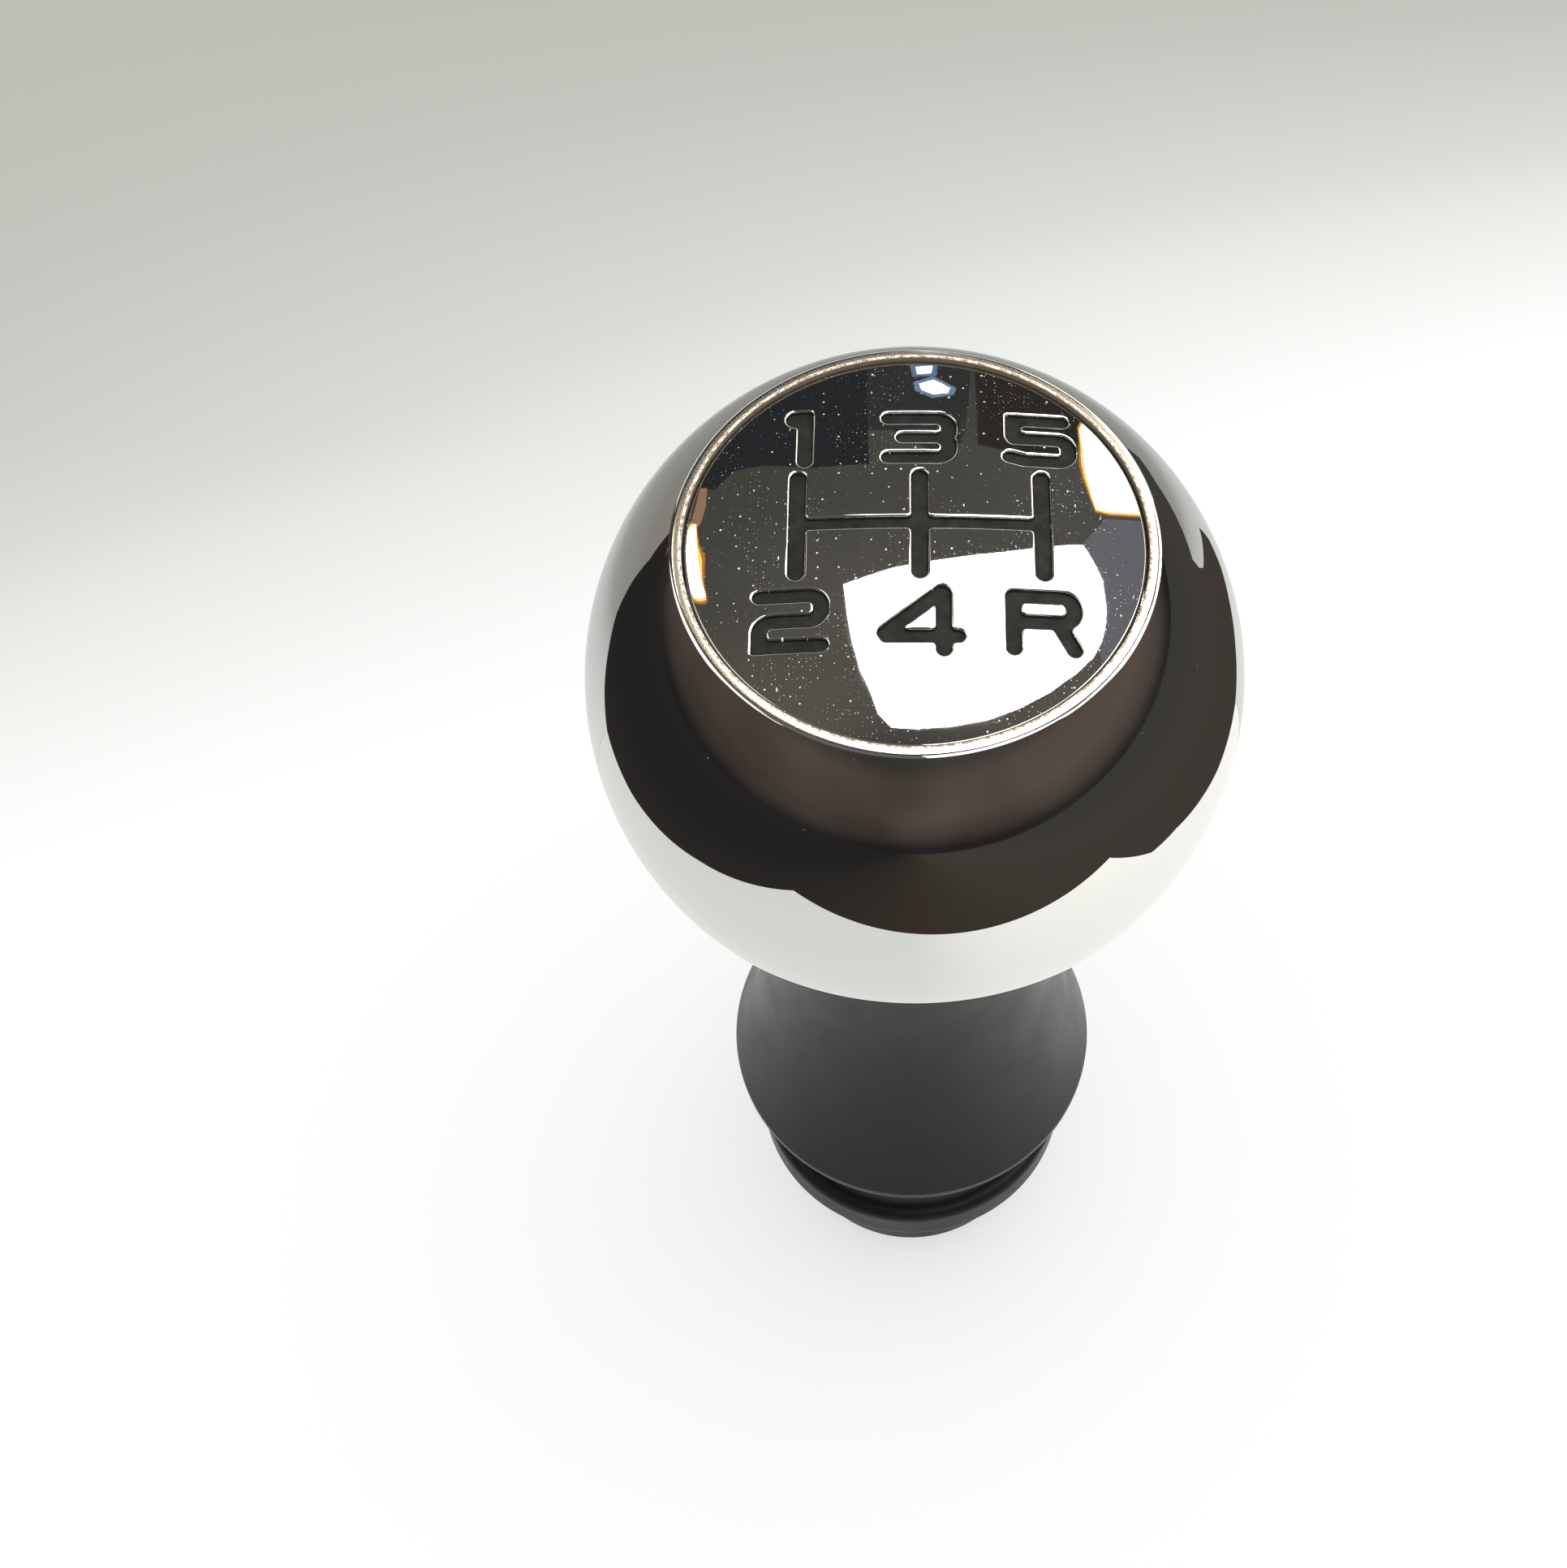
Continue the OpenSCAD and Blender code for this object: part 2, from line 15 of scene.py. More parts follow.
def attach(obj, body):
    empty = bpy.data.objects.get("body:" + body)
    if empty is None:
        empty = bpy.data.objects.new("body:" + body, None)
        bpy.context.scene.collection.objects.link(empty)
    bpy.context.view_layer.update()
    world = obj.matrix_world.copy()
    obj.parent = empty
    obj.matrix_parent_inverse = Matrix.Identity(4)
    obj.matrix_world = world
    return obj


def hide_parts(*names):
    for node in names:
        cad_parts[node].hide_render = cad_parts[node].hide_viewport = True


bl_info = {
    "name": "Gear shift knob",
    "version": (1, 0, 0),
    "blender": (4, 5, 0),
    "location": "View3D > Sidebar > Knob",
    "description": "Builds the ball, pattern plate, enamel and neck of a gear shift knob, and its studio",
    "category": "Object",
}

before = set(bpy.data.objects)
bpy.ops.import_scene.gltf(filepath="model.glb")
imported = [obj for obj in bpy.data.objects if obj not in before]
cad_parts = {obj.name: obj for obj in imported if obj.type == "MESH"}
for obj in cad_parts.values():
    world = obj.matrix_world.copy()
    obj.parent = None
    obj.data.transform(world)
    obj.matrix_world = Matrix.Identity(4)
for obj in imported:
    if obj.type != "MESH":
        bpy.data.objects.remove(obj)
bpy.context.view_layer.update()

MM = 0.001
TURN_STEPS = 360


# Settings


def length_setting(name, description, default):
    """A length in metres."""
    return FloatProperty(name=name, description=description, default=default, unit="LENGTH")


def colour_setting(name, description, default):
    """A colour in linear light."""
    return FloatVectorProperty(name=name, description=description, default=default, subtype="COLOR",
                               size=3, min=0, max=1)


class KnobSizes(bpy.types.PropertyGroup):
    """Sizes of the knob, in metres."""

    ball_radius: length_setting("Ball radius", "Radius of the bright ball", 0.025)
    ball_height: length_setting("Ball height", "Height of the ball's centre above the foot", 0.0955)
    lip_radius: length_setting("Lip radius", "Outer radius of the flat lip", 0.0171)
    recess_radius: length_setting("Recess radius", "Radius of the recess inside the lip", 0.01635)
    plate_radius: length_setting("Plate radius", "Radius of the pattern plate", 0.01624)
    dome_radius: length_setting("Dome radius", "Radius of the plate's domed face", 0.0957)
    crown_rise: length_setting("Crown rise", "Height of the plate's crown above the lip", 0.00103)
    engraving_depth: length_setting("Engraving depth", "Depth of the engraved strokes", 0.00045)
    engraving_rim: length_setting("Engraving rim", "Radius rolled along the engraving's edges", 0.00018)
    neck_radius: length_setting("Neck radius", "Radius of the neck where it meets the ball", 0.0125)
    rim_radius: length_setting("Rim radius", "Largest radius of the neck's rolled rim", 0.01765)
    rim_height: length_setting("Rim height", "Height of the rim's lower edge", 0.0269)
    flare_height: length_setting("Flare height", "Height where the neck starts to flare", 0.06)


class KnobColours(bpy.types.PropertyGroup):
    """Colours of the knob's finishes."""

    ball: colour_setting("Ball", "Bright metal of the ball", (0.80, 0.79, 0.765))
    plate: colour_setting("Plate", "Bright metal of the plate", (0.78, 0.775, 0.755))
    enamel: colour_setting("Enamel", "Matt filling of the engraving", (0.019, 0.0195, 0.016))
    neck: colour_setting("Neck", "Black plastic of the neck", (0.0095, 0.0122, 0.0112))
    collar: colour_setting("Collar", "Black plastic of the collar", (0.010, 0.010, 0.0098))
    floor_near: colour_setting("Floor, near", "Floor colour in front", (0.98, 0.98, 0.97))
    # Painted shade: the far colour greys the floor behind the knob, away from the light.
    floor_far: colour_setting("Floor, far", "Floor colour behind", (0.475, 0.485, 0.44))


class KnobStudio(bpy.types.PropertyGroup):
    """Camera and light of the studio."""

    camera_place: FloatVectorProperty(
        name="Camera place", description="Where the camera stands", subtype="TRANSLATION", size=3,
        unit="LENGTH", default=(-0.000889, -0.09738, 0.254451))
    camera_pitch: FloatProperty(
        name="Camera pitch", description="Angle of the view below the horizon", subtype="ANGLE",
        default=math.radians(61.6145))
    lens: FloatProperty(
        name="Lens", description="Focal length for a 36 mm frame", subtype="DISTANCE_CAMERA", default=55.9)
    room_light: FloatProperty(
        name="Room light", description="Strength of the soft light from all round", default=1.0, min=0)
    key_light: FloatProperty(
        name="Key light", description="Power of the soft lamp above", unit="POWER", default=0.7, min=0)


# Turned shapes

OPENING_R = 8.55  # opening of the ball, which the neck's top carries on


def fill_mesh(name, points, normals, faces, node, material):
    """A piece from points and normals in mm and a list of faces.

    It rides on the root body, stands for the CAD node and wears the material.
    """
    mesh = bpy.data.meshes.new(name)
    mesh.from_pydata((np.asarray(points) * MM).tolist(), [], faces)
    mesh.polygons.foreach_set("use_smooth", np.ones(len(mesh.polygons), bool))
    mesh.update()
    lengths = np.linalg.norm(normals, axis=1, keepdims=True)
    mesh.normals_split_custom_set_from_vertices((np.asarray(normals) / np.maximum(lengths, 1e-9)).tolist())
    mesh.materials.append(material)
    piece = bpy.data.objects.new(name, mesh)
    bpy.context.scene.collection.objects.link(piece)
    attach(piece, "root")
    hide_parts(node)


def line(x0, y0, x1, y1, steps=1):
    """Straight stretch of a profile; its normal is the direction of travel turned a quarter to the right."""
    t = np.linspace(0, 1, steps + 1)[:, None]
    points = np.array([[x0, y0]]) * (1 - t) + np.array([[x1, y1]]) * t
    length = math.hypot(x1 - x0, y1 - y0)
    normal = np.array([[(y1 - y0) / length, -(x1 - x0) / length]])
    return points, np.repeat(normal, steps + 1, axis=0)


def arc(x, y, radius, start, end, steps, inward=False):
    """Circular stretch of a profile: centre + radius * (cos, sin) of angles in degrees.

    Inward turns the normals to the centre.
    """
    a = np.radians(np.linspace(start, end, steps + 1))
    direction = np.stack([np.cos(a), np.sin(a)], axis=1)
    return np.array([[x, y]]) + radius * direction, -direction if inward else direction


def join_stretches(stretches):
    """One chain of profile points from stretches that end where the next begins.

    A shared point gets the mean normal.
    """
    points, normals = [stretches[0][0]], [stretches[0][1].copy()]
    for p, n in stretches[1:]:
        normals[-1][-1] = normals[-1][-1] + n[0]
        points.append(p[1:])
        normals.append(n[1:].copy())
    return np.concatenate(points), np.concatenate(normals)


def closed_profile(stretches):
    """A closed chain: as join_stretches, without the last point, which is the first one again."""
    points, normals = join_stretches(stretches)
    normals[0] = normals[0] + normals[-1]
    return points[:-1], normals[:-1]


def turn_directions():
    """(cos a, sin a) for the angles of one whole turn."""
    a = np.linspace(0, 2 * np.pi, TURN_STEPS, endpoint=False)
    return np.stack([np.cos(a), np.sin(a)], axis=1)


def revolve(profile, normals, closed=True):
    """Surface of turning: (r cos a, r sin a, z) for every profile point (r, z) and every angle a on a grid.

    Returns points, normals and quads.
    """
    ring = turn_directions()
    count = len(profile)
    grids = []
    for values in (profile, normals):
        grid = np.empty((count, TURN_STEPS, 3))
        grid[..., :2] = values[:, None, :1] * ring[None]
        grid[..., 2] = values[:, None, 1]
        grids.append(grid.reshape(-1, 3))
    rows = np.arange(count if closed else count - 1)
    i, j = np.meshgrid(rows, np.arange(TURN_STEPS), indexing="ij")
    here, beside = i * TURN_STEPS, ((i + 1) % count) * TURN_STEPS
    following = (j + 1) % TURN_STEPS
    quads = np.stack([here + j, here + following, beside + following, beside + j], axis=-1)
    return *grids, quads.reshape(-1, 4)


def ball_profile(s):
    """Half section of the ball in mm, anticlockwise.

    Outer sphere, rolled corner, lip, recess, shelf, cavity and seat.
    """
    radius, height = s.ball_radius / MM, s.ball_height / MM
    lip_r, recess_r = s.lip_radius / MM, s.recess_radius / MM
    lip_h = height + math.sqrt(radius ** 2 - lip_r ** 2)
    wall, seat_rise = 2.4, 6
    shelf_depth, shelf_width, shelf_thickness = 2.3, 3.2, 2.0
    cavity_r, seat_h = radius - wall, height - radius + seat_rise
    shelf_h, shelf_r = lip_h - shelf_depth, recess_r - shelf_width
    under_h = shelf_h - shelf_thickness
    start = -math.degrees(math.acos(OPENING_R / radius))
    cavity_top = math.degrees(math.asin((under_h - height) / cavity_r))
    cavity_low = math.degrees(math.asin((seat_h - height) / cavity_r))
    cavity_x = cavity_r * math.cos(math.radians(cavity_top))
    seat_x = cavity_r * math.cos(math.radians(cavity_low))
    bottom_h = height + radius * math.sin(math.radians(start))
    # The land of the lip is a shallow arc, tilted by so many degrees at its ends.
    # The roll at its outer end is the circle that touches both it and the ball.
    inner_roll, inner_tilt, outer_tilt, land = 0.09, 2.0, 9.0, 0.56
    lean_in, lean_out = math.radians(inner_tilt), math.radians(outer_tilt)
    land_r = land / (math.sin(lean_in) + math.sin(lean_out))
    land_x = recess_r + inner_roll * (1 - math.sin(lean_in)) + land_r * math.sin(lean_in)
    end_x = land_x + land_r * math.sin(lean_out)
    end_h = lip_h - land_r * (1 - math.cos(lean_out))
    rise = end_h - height
    reach = radius - end_x * math.sin(lean_out) - rise * math.cos(lean_out)
    roll = (radius ** 2 - end_x ** 2 - rise ** 2) / (2 * reach)
    roll_x, roll_h = end_x - roll * math.sin(lean_out), end_h - roll * math.cos(lean_out)
    roll_angle = math.degrees(math.atan2(roll_h - height, roll_x))
    inner_x = recess_r + inner_roll
    inner_h = lip_h - land_r * (1 - math.cos(lean_in)) - inner_roll * math.cos(lean_in)
    return closed_profile([
        arc(0, height, radius, start, roll_angle, 104),
        arc(roll_x, roll_h, roll, roll_angle, 90 - outer_tilt, 14),
        arc(land_x, lip_h - land_r, land_r, 90 - outer_tilt, 90 + inner_tilt, 6),
        arc(inner_x, inner_h, inner_roll, 90 + inner_tilt, 180, 6),
        line(recess_r, inner_h, recess_r, shelf_h, 3),
        line(recess_r, shelf_h, shelf_r, shelf_h),
        line(shelf_r, shelf_h, shelf_r, under_h),
        line(shelf_r, under_h, cavity_x, under_h),
        arc(0, height, cavity_r, cavity_top, cavity_low, 24, inward=True),
        line(seat_x, seat_h, OPENING_R, seat_h),
        line(OPENING_R, seat_h, OPENING_R, bottom_h),
    ])


def neck_profile(s):
    """Half section of the neck in mm, anticlockwise.

    Mouth, rolled rim, concave flare, straight neck, hollow top and inner flare.
    """
    ball_h, ball_r = s.ball_height / MM, s.ball_radius / MM
    neck_r, rim_r, rim_h = s.neck_radius / MM, s.rim_radius / MM, s.rim_height / MM
    flare_h = s.flare_height / MM
    roll, band, wall, edge_roll = 1.0, 2.4, 2.0, 0.25
    mouth_step, seat_gap, plug_depth, web_drop = 0.55, 0.05, 6.2, 3
    mouth_r, seat_r = rim_r - mouth_step - wall, ball_r + seat_gap
    plug_top, web_h = rim_h + plug_depth, ball_h - ball_r - web_drop
    # The flare is the circle that touches the straight neck and the rim's roll
    roll_x, roll_h = rim_r - roll, rim_h + band - roll
    drop, swell = flare_h - roll_h, roll_x - neck_r
    flare_r = (drop ** 2 + swell ** 2 - roll ** 2) / (2 * (roll + swell))
    centre_x = neck_r + flare_r
    lean = math.degrees(math.atan2(drop, centre_x - roll_x))
    hollow_r = flare_r + wall
    hollow_low = math.degrees(math.asin((plug_top - flare_h) / hollow_r))
    hollow_x = centre_x - hollow_r * math.cos(math.radians(hollow_low))
    contact_x = neck_r - edge_roll
    contact_h = ball_h - math.sqrt(seat_r ** 2 - contact_x ** 2)
    low_h = ball_h - math.sqrt(seat_r ** 2 - OPENING_R ** 2)
    contact_angle = -math.degrees(math.acos(contact_x / seat_r))
    low_angle = -math.degrees(math.acos(OPENING_R / seat_r))
    return closed_profile([
        line(mouth_r, rim_h, roll_x, rim_h, 2),
        arc(roll_x, rim_h + roll, roll, -90, 0, 10),
        line(rim_r, rim_h + roll, rim_r, roll_h),
        arc(roll_x, roll_h, roll, 0, lean, 8),
        arc(centre_x, flare_h, flare_r, 180 + lean, 180, 64, inward=True),
        line(neck_r, flare_h, neck_r, contact_h - edge_roll, 6),
        arc(contact_x, contact_h - edge_roll, edge_roll, 0, 90, 5),
        arc(0, ball_h, seat_r, contact_angle, low_angle, 8, inward=True),
        line(OPENING_R, low_h, OPENING_R, web_h),
        line(OPENING_R, web_h, neck_r - wall, web_h),
        line(neck_r - wall, web_h, neck_r - wall, flare_h),
        arc(centre_x, flare_h, hollow_r, 180, 180 - hollow_low, 24),
        line(hollow_x, plug_top, mouth_r, plug_top),
        line(mouth_r, plug_top, mouth_r, rim_h, 2),
    ])


# Engraved pattern

# Strokes in mm about the pattern's middle. A line is (x0, y0, x1, y1, width), a bend a quarter ring
# (x, y, radius, side_x, side_y, width), a block a rounded box (x0, y0, x1, y1, rounding) and a disc
# (x, y, radius).

COLUMN = 8.6  # from one column of the gate to the next
ROW_UP, ROW_DOWN = 7.6, -7.9  # middles of the upper and the lower row
PATTERN_AT = (0.3, 1.1)  # the pattern's middle on the plate
DIGIT = 1.06  # width of the strokes of the numbers and the R
SLOT, CROSS_SLOT, SLOT_LENGTH = 1.16, 0.96, 9.25  # the gate
CROSS_INSET = 0.25  # where the cross slot ends, inside the outer slots
FILLET = 0.4  # reach of the rounding where two strokes cross
FAR = 1e3  # the distance where no stroke is within its margin
SEAM_R = 15.6  # radius where the flat mesh of the dome meets the turned rings of the plate


def shifted(shapes, x, y):
    """The same strokes about another middle."""
    moved = []
    for kind, v in shapes:
        if kind in ("line", "block"):
            moved.append((kind, (v[0] + x, v[1] + y, v[2] + x, v[3] + y, v[4])))
        else:
            moved.append((kind, (v[0] + x, v[1] + y) + tuple(v[2:])))
    return moved


def glyphs():
    """Every stroke of the pattern: the gate, 1 3 5 above it and 2 4 R below it."""
    w = DIGIT
    one = [("line", (0.45, -2.02, 0.45, 1.6, w)), ("disc", (-0.25, 2.0, 0.74)),
           ("block", (-0.25, 1.26, 0.98, 2.74, 0.3)), ("block", (-0.6, 1.26, 0.98, 2.38, 0.15))]
    two = [("line", (-2.45, 2.05, 0.95, 2.05, w)), ("bend", (0.95, 1.2, 0.85, 1, 1, w)),
           ("line", (1.8, 1.2, 1.8, 0.93, w)), ("bend", (0.95, 0.93, 0.85, 1, -1, w)),
           ("line", (0.95, 0.08, -1.6, 0.08, w)), ("bend", (-1.6, -0.77, 0.85, -1, 1, w)),
           ("line", (-2.45, -0.77, -2.45, -1.84, w)), ("line", (-2.45, -1.84, 1.8, -1.84, w)),
           ("block", (-2.98, -2.37, -2.2, -1.6, 0.18))]
    three = []
    for side in (-1, 1):
        three += [("line", (-2.2, side * 1.84, 1.25, side * 1.84, w)),
                  ("bend", (1.25, side * 0.99, 0.85, 1, side, w)),
                  ("line", (2.1, side * 0.99, 2.1, side * 0.6, w)),
                  ("bend", (1.5, side * 0.6, 0.6, 1, -side, w))]
    three += [("line", (-1.2, 0, 1.5, 0, w * 0.88))]
    four = [("line", (1.62, 2.05, 1.62, -2.25, w)), ("line", (1.47, 2.2, -2.42, -1.0, w)),
            ("line", (-2.32, -1.26, 2.6, -1.26, w * 0.92))]
    five = [("line", (-1.9, 1.86, 1.6, 1.86, w)), ("block", (-2.43, 1.5, -1.6, 2.39, 0.18)),
            ("line", (-1.9, 1.86, -1.9, 0.32, w)), ("line", (-1.8, 0.12, 1.21, 0.12, w)),
            ("bend", (1.21, -0.73, 0.85, 1, 1, w)), ("line", (2.06, -0.73, 2.06, -1.05, w)),
            ("bend", (1.21, -1.05, 0.85, 1, -1, w)), ("line", (1.21, -1.9, -1.1, -1.9, w)),
            ("line", (-1.1, -1.9, -2.15, -1.62, w))]
    reverse = [("line", (-2.2, 1.98, -2.2, -2.05, w)), ("line", (-2.2, 1.98, 1.1, 1.98, w)),
               ("bend", (1.1, 1.1, 0.88, 1, 1, w)), ("line", (1.98, 1.1, 1.98, 0.88, w)),
               ("bend", (1.1, 0.88, 0.88, 1, -1, w)), ("line", (1.1, 0, -2.2, 0, w)),
               ("line", (1.0, -0.3, 1.95, -2.05, w))]
    half = SLOT_LENGTH / 2 - SLOT / 2
    cross = COLUMN - CROSS_INSET
    whole = [("line", (column * COLUMN, -half, column * COLUMN, half, SLOT)) for column in (-1, 0, 1)]
    whole += [("line", (-cross, 0, cross, 0, CROSS_SLOT))]
    for row, shapes in ((ROW_UP, (one, three, five)), (ROW_DOWN, (two, four, reverse))):
        for column, number in enumerate(shapes, -1):
            whole += shifted(number, column * COLUMN, row)
    return shifted(whole, *PATTERN_AT)


def stroke_distance(kind, v, p):
    """Signed distance to one stroke, negative inside, and the unit direction in which it grows."""
    if kind == "line":
        a, b = np.array(v[:2]), np.array(v[2:4])
        along = b - a
        t = np.clip(((p - a) @ along) / max(along @ along, 1e-9), 0, 1)
        nearest, reach = a + t[:, None] * along, v[4] / 2
    elif kind == "disc":
        nearest, reach = np.broadcast_to(np.array(v[:2]), p.shape), v[2]
    elif kind == "block":
        low, high = np.array(v[:2]) + v[4], np.array(v[2:4]) - v[4]
        nearest, reach = np.clip(p, low, high), v[4]
        inside = ((p > low) & (p < high)).all(axis=1)
        gaps = np.column_stack([p - low, high - p])
        outward = np.array([[-1, 0], [0, -1], [1, 0], [0, 1]], float)[gaps.argmin(axis=1)]
        deep = -gaps.min(axis=1) - reach
    else:
        x, y, radius, side_x, side_y, width = v
        centre = np.array([x, y])
        q = p - centre
        length = np.maximum(np.linalg.norm(q, axis=1), 1e-9)
        on_ring = centre + q / length[:, None] * radius
        in_quarter = (q[:, 0] * side_x >= 0) & (q[:, 1] * side_y >= 0)
        ends = np.array([[x + side_x * radius, y], [x, y + side_y * radius]])
        closer = np.linalg.norm(p - ends[0], axis=1) < np.linalg.norm(p - ends[1], axis=1)
        nearest = np.where(in_quarter[:, None], on_ring, np.where(closer[:, None], ends[0], ends[1]))
        reach = width / 2
    away = p - nearest
    length = np.linalg.norm(away, axis=1)
    distance = length - reach
    direction = away / np.maximum(length, 1e-9)[:, None]
    if kind == "block":
        distance = np.where(inside, deep, distance)
        direction = np.where(inside[:, None], outward, direction)
    return distance, direction


def pattern_distance(shapes, p):
    """Distance to the union of the strokes, and its slope.

    Where two edges cross at an angle, the smooth minimum min(a, b) - h^2 k / 4 with
    h = max(k - |a - b|, 0) / k rounds the corner. The reach k falls to nothing where the edges run along
    each other. A stroke counts only within its margin.
    """
    margin = 2.5
    total = np.full(len(p), FAR)
    slope = np.zeros_like(p)
    for kind, v in shapes:
        if kind in ("line", "block"):
            low, high = np.minimum(v[:2], v[2:4]), np.maximum(v[:2], v[2:4])
        else:
            low = high = np.array(v[:2])
        near = ((p > low - margin) & (p < high + margin)).all(axis=1)
        if not near.any():
            continue
        d, g = stroke_distance(kind, v, p[near])
        a, ga = total[near], slope[near]
        k = FILLET * np.clip(1 - (ga * g).sum(axis=1), 0, 1) + 1e-6
        h = np.maximum(k - np.abs(a - d), 0) / k
        lower = (d < a)[:, None]
        best, other = np.where(lower, g, ga), np.where(lower, ga, g)
        mixed = best * (1 - h[:, None] / 2) + other * h[:, None] / 2
        total[near] = np.minimum(a, d) - h * h * k / 4
        slope[near] = mixed / np.maximum(np.linalg.norm(mixed, axis=1), 1e-9)[:, None]
    return total, slope


def cell_corners(grid):
    """The four corner values of every cell of a grid, one row for each cell."""
    return np.stack([grid[:-1, :-1], grid[:-1, 1:], grid[1:, :-1], grid[1:, 1:]], axis=-1).reshape(-1, 4)


def pattern_outline(shapes, pitch=0.07, half=13.3):
    """The pattern's edge as points, slopes and directed pairs of points, with the engraving on the left.

    Marching squares on a grid of this pitch and half width, then two steps onto the edge itself.
    """
    axis = np.arange(-half, half + pitch, pitch)
    x, y = np.meshgrid(axis, axis)
    value = pattern_distance(shapes, np.stack([x.ravel(), y.ravel()], axis=1))[0].reshape(x.shape)
    # A grid point on the edge would give crossings that coincide, so it is moved off a little
    small = 0.15 * pitch
    value = np.where(np.abs(value) < small, np.where(value < 0, -small, small), value)
    inside = value < 0
    across = inside[:, :-1] != inside[:, 1:]
    up = inside[:-1] != inside[1:]
    ids_across, ids_up = np.full(across.shape, -1), np.full(up.shape, -1)
    ids_across[across] = np.arange(across.sum())
    ids_up[up] = across.sum() + np.arange(up.sum())
    share_across = value[:, :-1][across] / (value[:, :-1][across] - value[:, 1:][across])
    share_up = value[:-1][up] / (value[:-1][up] - value[1:][up])
    points = np.concatenate([
        np.stack([x[:, :-1][across] + share_across * pitch, y[:, :-1][across]], axis=1),
        np.stack([x[:-1][up], y[:-1][up] + share_up * pitch], axis=1)])
    sides = np.stack([ids_across[:-1], ids_across[1:], ids_up[:, :-1], ids_up[:, 1:]], axis=-1).reshape(-1, 4)
    crossed = (sides >= 0).sum(axis=1) == 2
    pairs = np.sort(sides[crossed], axis=1)[:, 2:]
    # Each pair is turned so that the middle of the cell's engraved corners lies on its left
    weight = cell_corners(inside)[crossed]
    within = np.stack([(cell_corners(grid)[crossed] * weight).sum(axis=1) for grid in (x, y)], axis=1)
    within = within / weight.sum(axis=1)[:, None]
    along, towards = points[pairs[:, 1]] - points[pairs[:, 0]], within - points[pairs[:, 0]]
    inside_on_left = along[:, 0] * towards[:, 1] - along[:, 1] * towards[:, 0] > 0
    pairs = np.where(inside_on_left[:, None], pairs, pairs[:, ::-1])
    for _ in range(2):
        d, g = pattern_distance(shapes, points)
        points = points - d[:, None] * g
    return points, pattern_distance(shapes, points)[1], pairs


def offset_points(points, slope, pairs, offset):
    """The outline moved along its slope by the offset, less where it turns tightly.

    Along a pair the offset shortens by the turn of the slope over the pair's length. Each point takes the
    share of the offset that closes its pairs by no more than half, and the shares spread to the
    neighbours, growing by a little at each step.
    """
    most_closing, growth, rounds = 0.5, 0.07, 12
    first, second = pairs[:, 0], pairs[:, 1]
    share = np.ones(len(points))
    along = points[second] - points[first]
    turn = ((slope[second] - slope[first]) * along).sum(axis=1) / (along ** 2).sum(axis=1)
    allowed = np.minimum(1, most_closing / np.maximum(-turn * offset, 1e-6))
    np.minimum.at(share, first, allowed)
    np.minimum.at(share, second, allowed)
    for _ in range(rounds):
        spread = share.copy()
        np.minimum.at(spread, first, share[second] + growth)
        np.minimum.at(spread, second, share[first] + growth)
        share = spread
    return points + offset * slope * share[:, None]


def enclosed(p, chain, pairs):
    """Whether each point lies within the closed chains, by how often a ray to the right crosses them."""
    a, b = chain[pairs[:, 0]], chain[pairs[:, 1]]
    lean = (b[:, 0] - a[:, 0]) / np.where(a[:, 1] == b[:, 1], 1, b[:, 1] - a[:, 1])
    result = []
    for part in np.array_split(p, max(1, len(p) // 1000)):
        y = part[:, 1:]
        straddles = (a[:, 1] > y) != (b[:, 1] > y)
        result.append((straddles & (part[:, :1] < a[:, 0] + lean * (y - a[:, 1]))).sum(axis=1) % 2 == 1)
    return np.concatenate(result)


def triangulate(points, pairs):
    """Triangles between the closed chains of pairs, anticlockwise, with the points inside them used too."""
    found = delaunay_2d_cdt([Vector(p) for p in points.tolist()], pairs.tolist(), [], 0, 1e-7, False)
    if len(found[0]) != len(points):
        raise RuntimeError(f"the outline crosses itself: {len(points)} points became {len(found[0])}")
    faces = np.array(found[2])
    faces = faces[enclosed(points[faces].mean(axis=1), points, pairs)]
    a, b, c = (points[faces[:, i]] for i in range(3))
    area = (b[:, 0] - a[:, 0]) * (c[:, 1] - a[:, 1]) - (b[:, 1] - a[:, 1]) * (c[:, 0] - a[:, 0])
    return np.where(area[:, None] < 0, faces[:, ::-1], faces)


def fill_points(shapes, radius, spacing, low=-FAR, high=FAR):
    """Points of a triangular grid whose distance from the pattern's edge is between low and high.

    Far from every stroke there are none.
    """
    row_share = 0.866  # height of a triangle of the grid over its side
    rows = np.arange(-radius, radius, spacing * row_share)
    columns = np.arange(-radius, radius, spacing)
    x, y = np.meshgrid(columns, rows)
    x = x + np.where(np.arange(len(rows)) % 2, spacing / 2, 0)[:, None]
    p = np.stack([x.ravel(), y.ravel()], axis=1)
    p = p[np.hypot(p[:, 0], p[:, 1]) < radius]
    d = pattern_distance(shapes, p)[0]
    return p[(d > low) & (d < high)]


class Dome:
    """The plate's domed face: z = centre + sqrt((radius - depth)^2 - x^2 - y^2)."""

    def __init__(self, s):
        ball_r, lip_r = s.ball_radius / MM, s.lip_radius / MM
        self.lip_h = s.ball_height / MM + math.sqrt(ball_r ** 2 - lip_r ** 2)
        self.radius = s.dome_radius / MM
        self.centre = self.lip_h + s.crown_rise / MM - self.radius

    def at(self, p, depth):
        """Points on the dome, sunk by depth, and the dome's normals there."""
        z = np.sqrt((self.radius - depth) ** 2 - (p ** 2).sum(axis=1))
        return np.column_stack([p, self.centre + z]), np.column_stack([p, z]) / self.radius


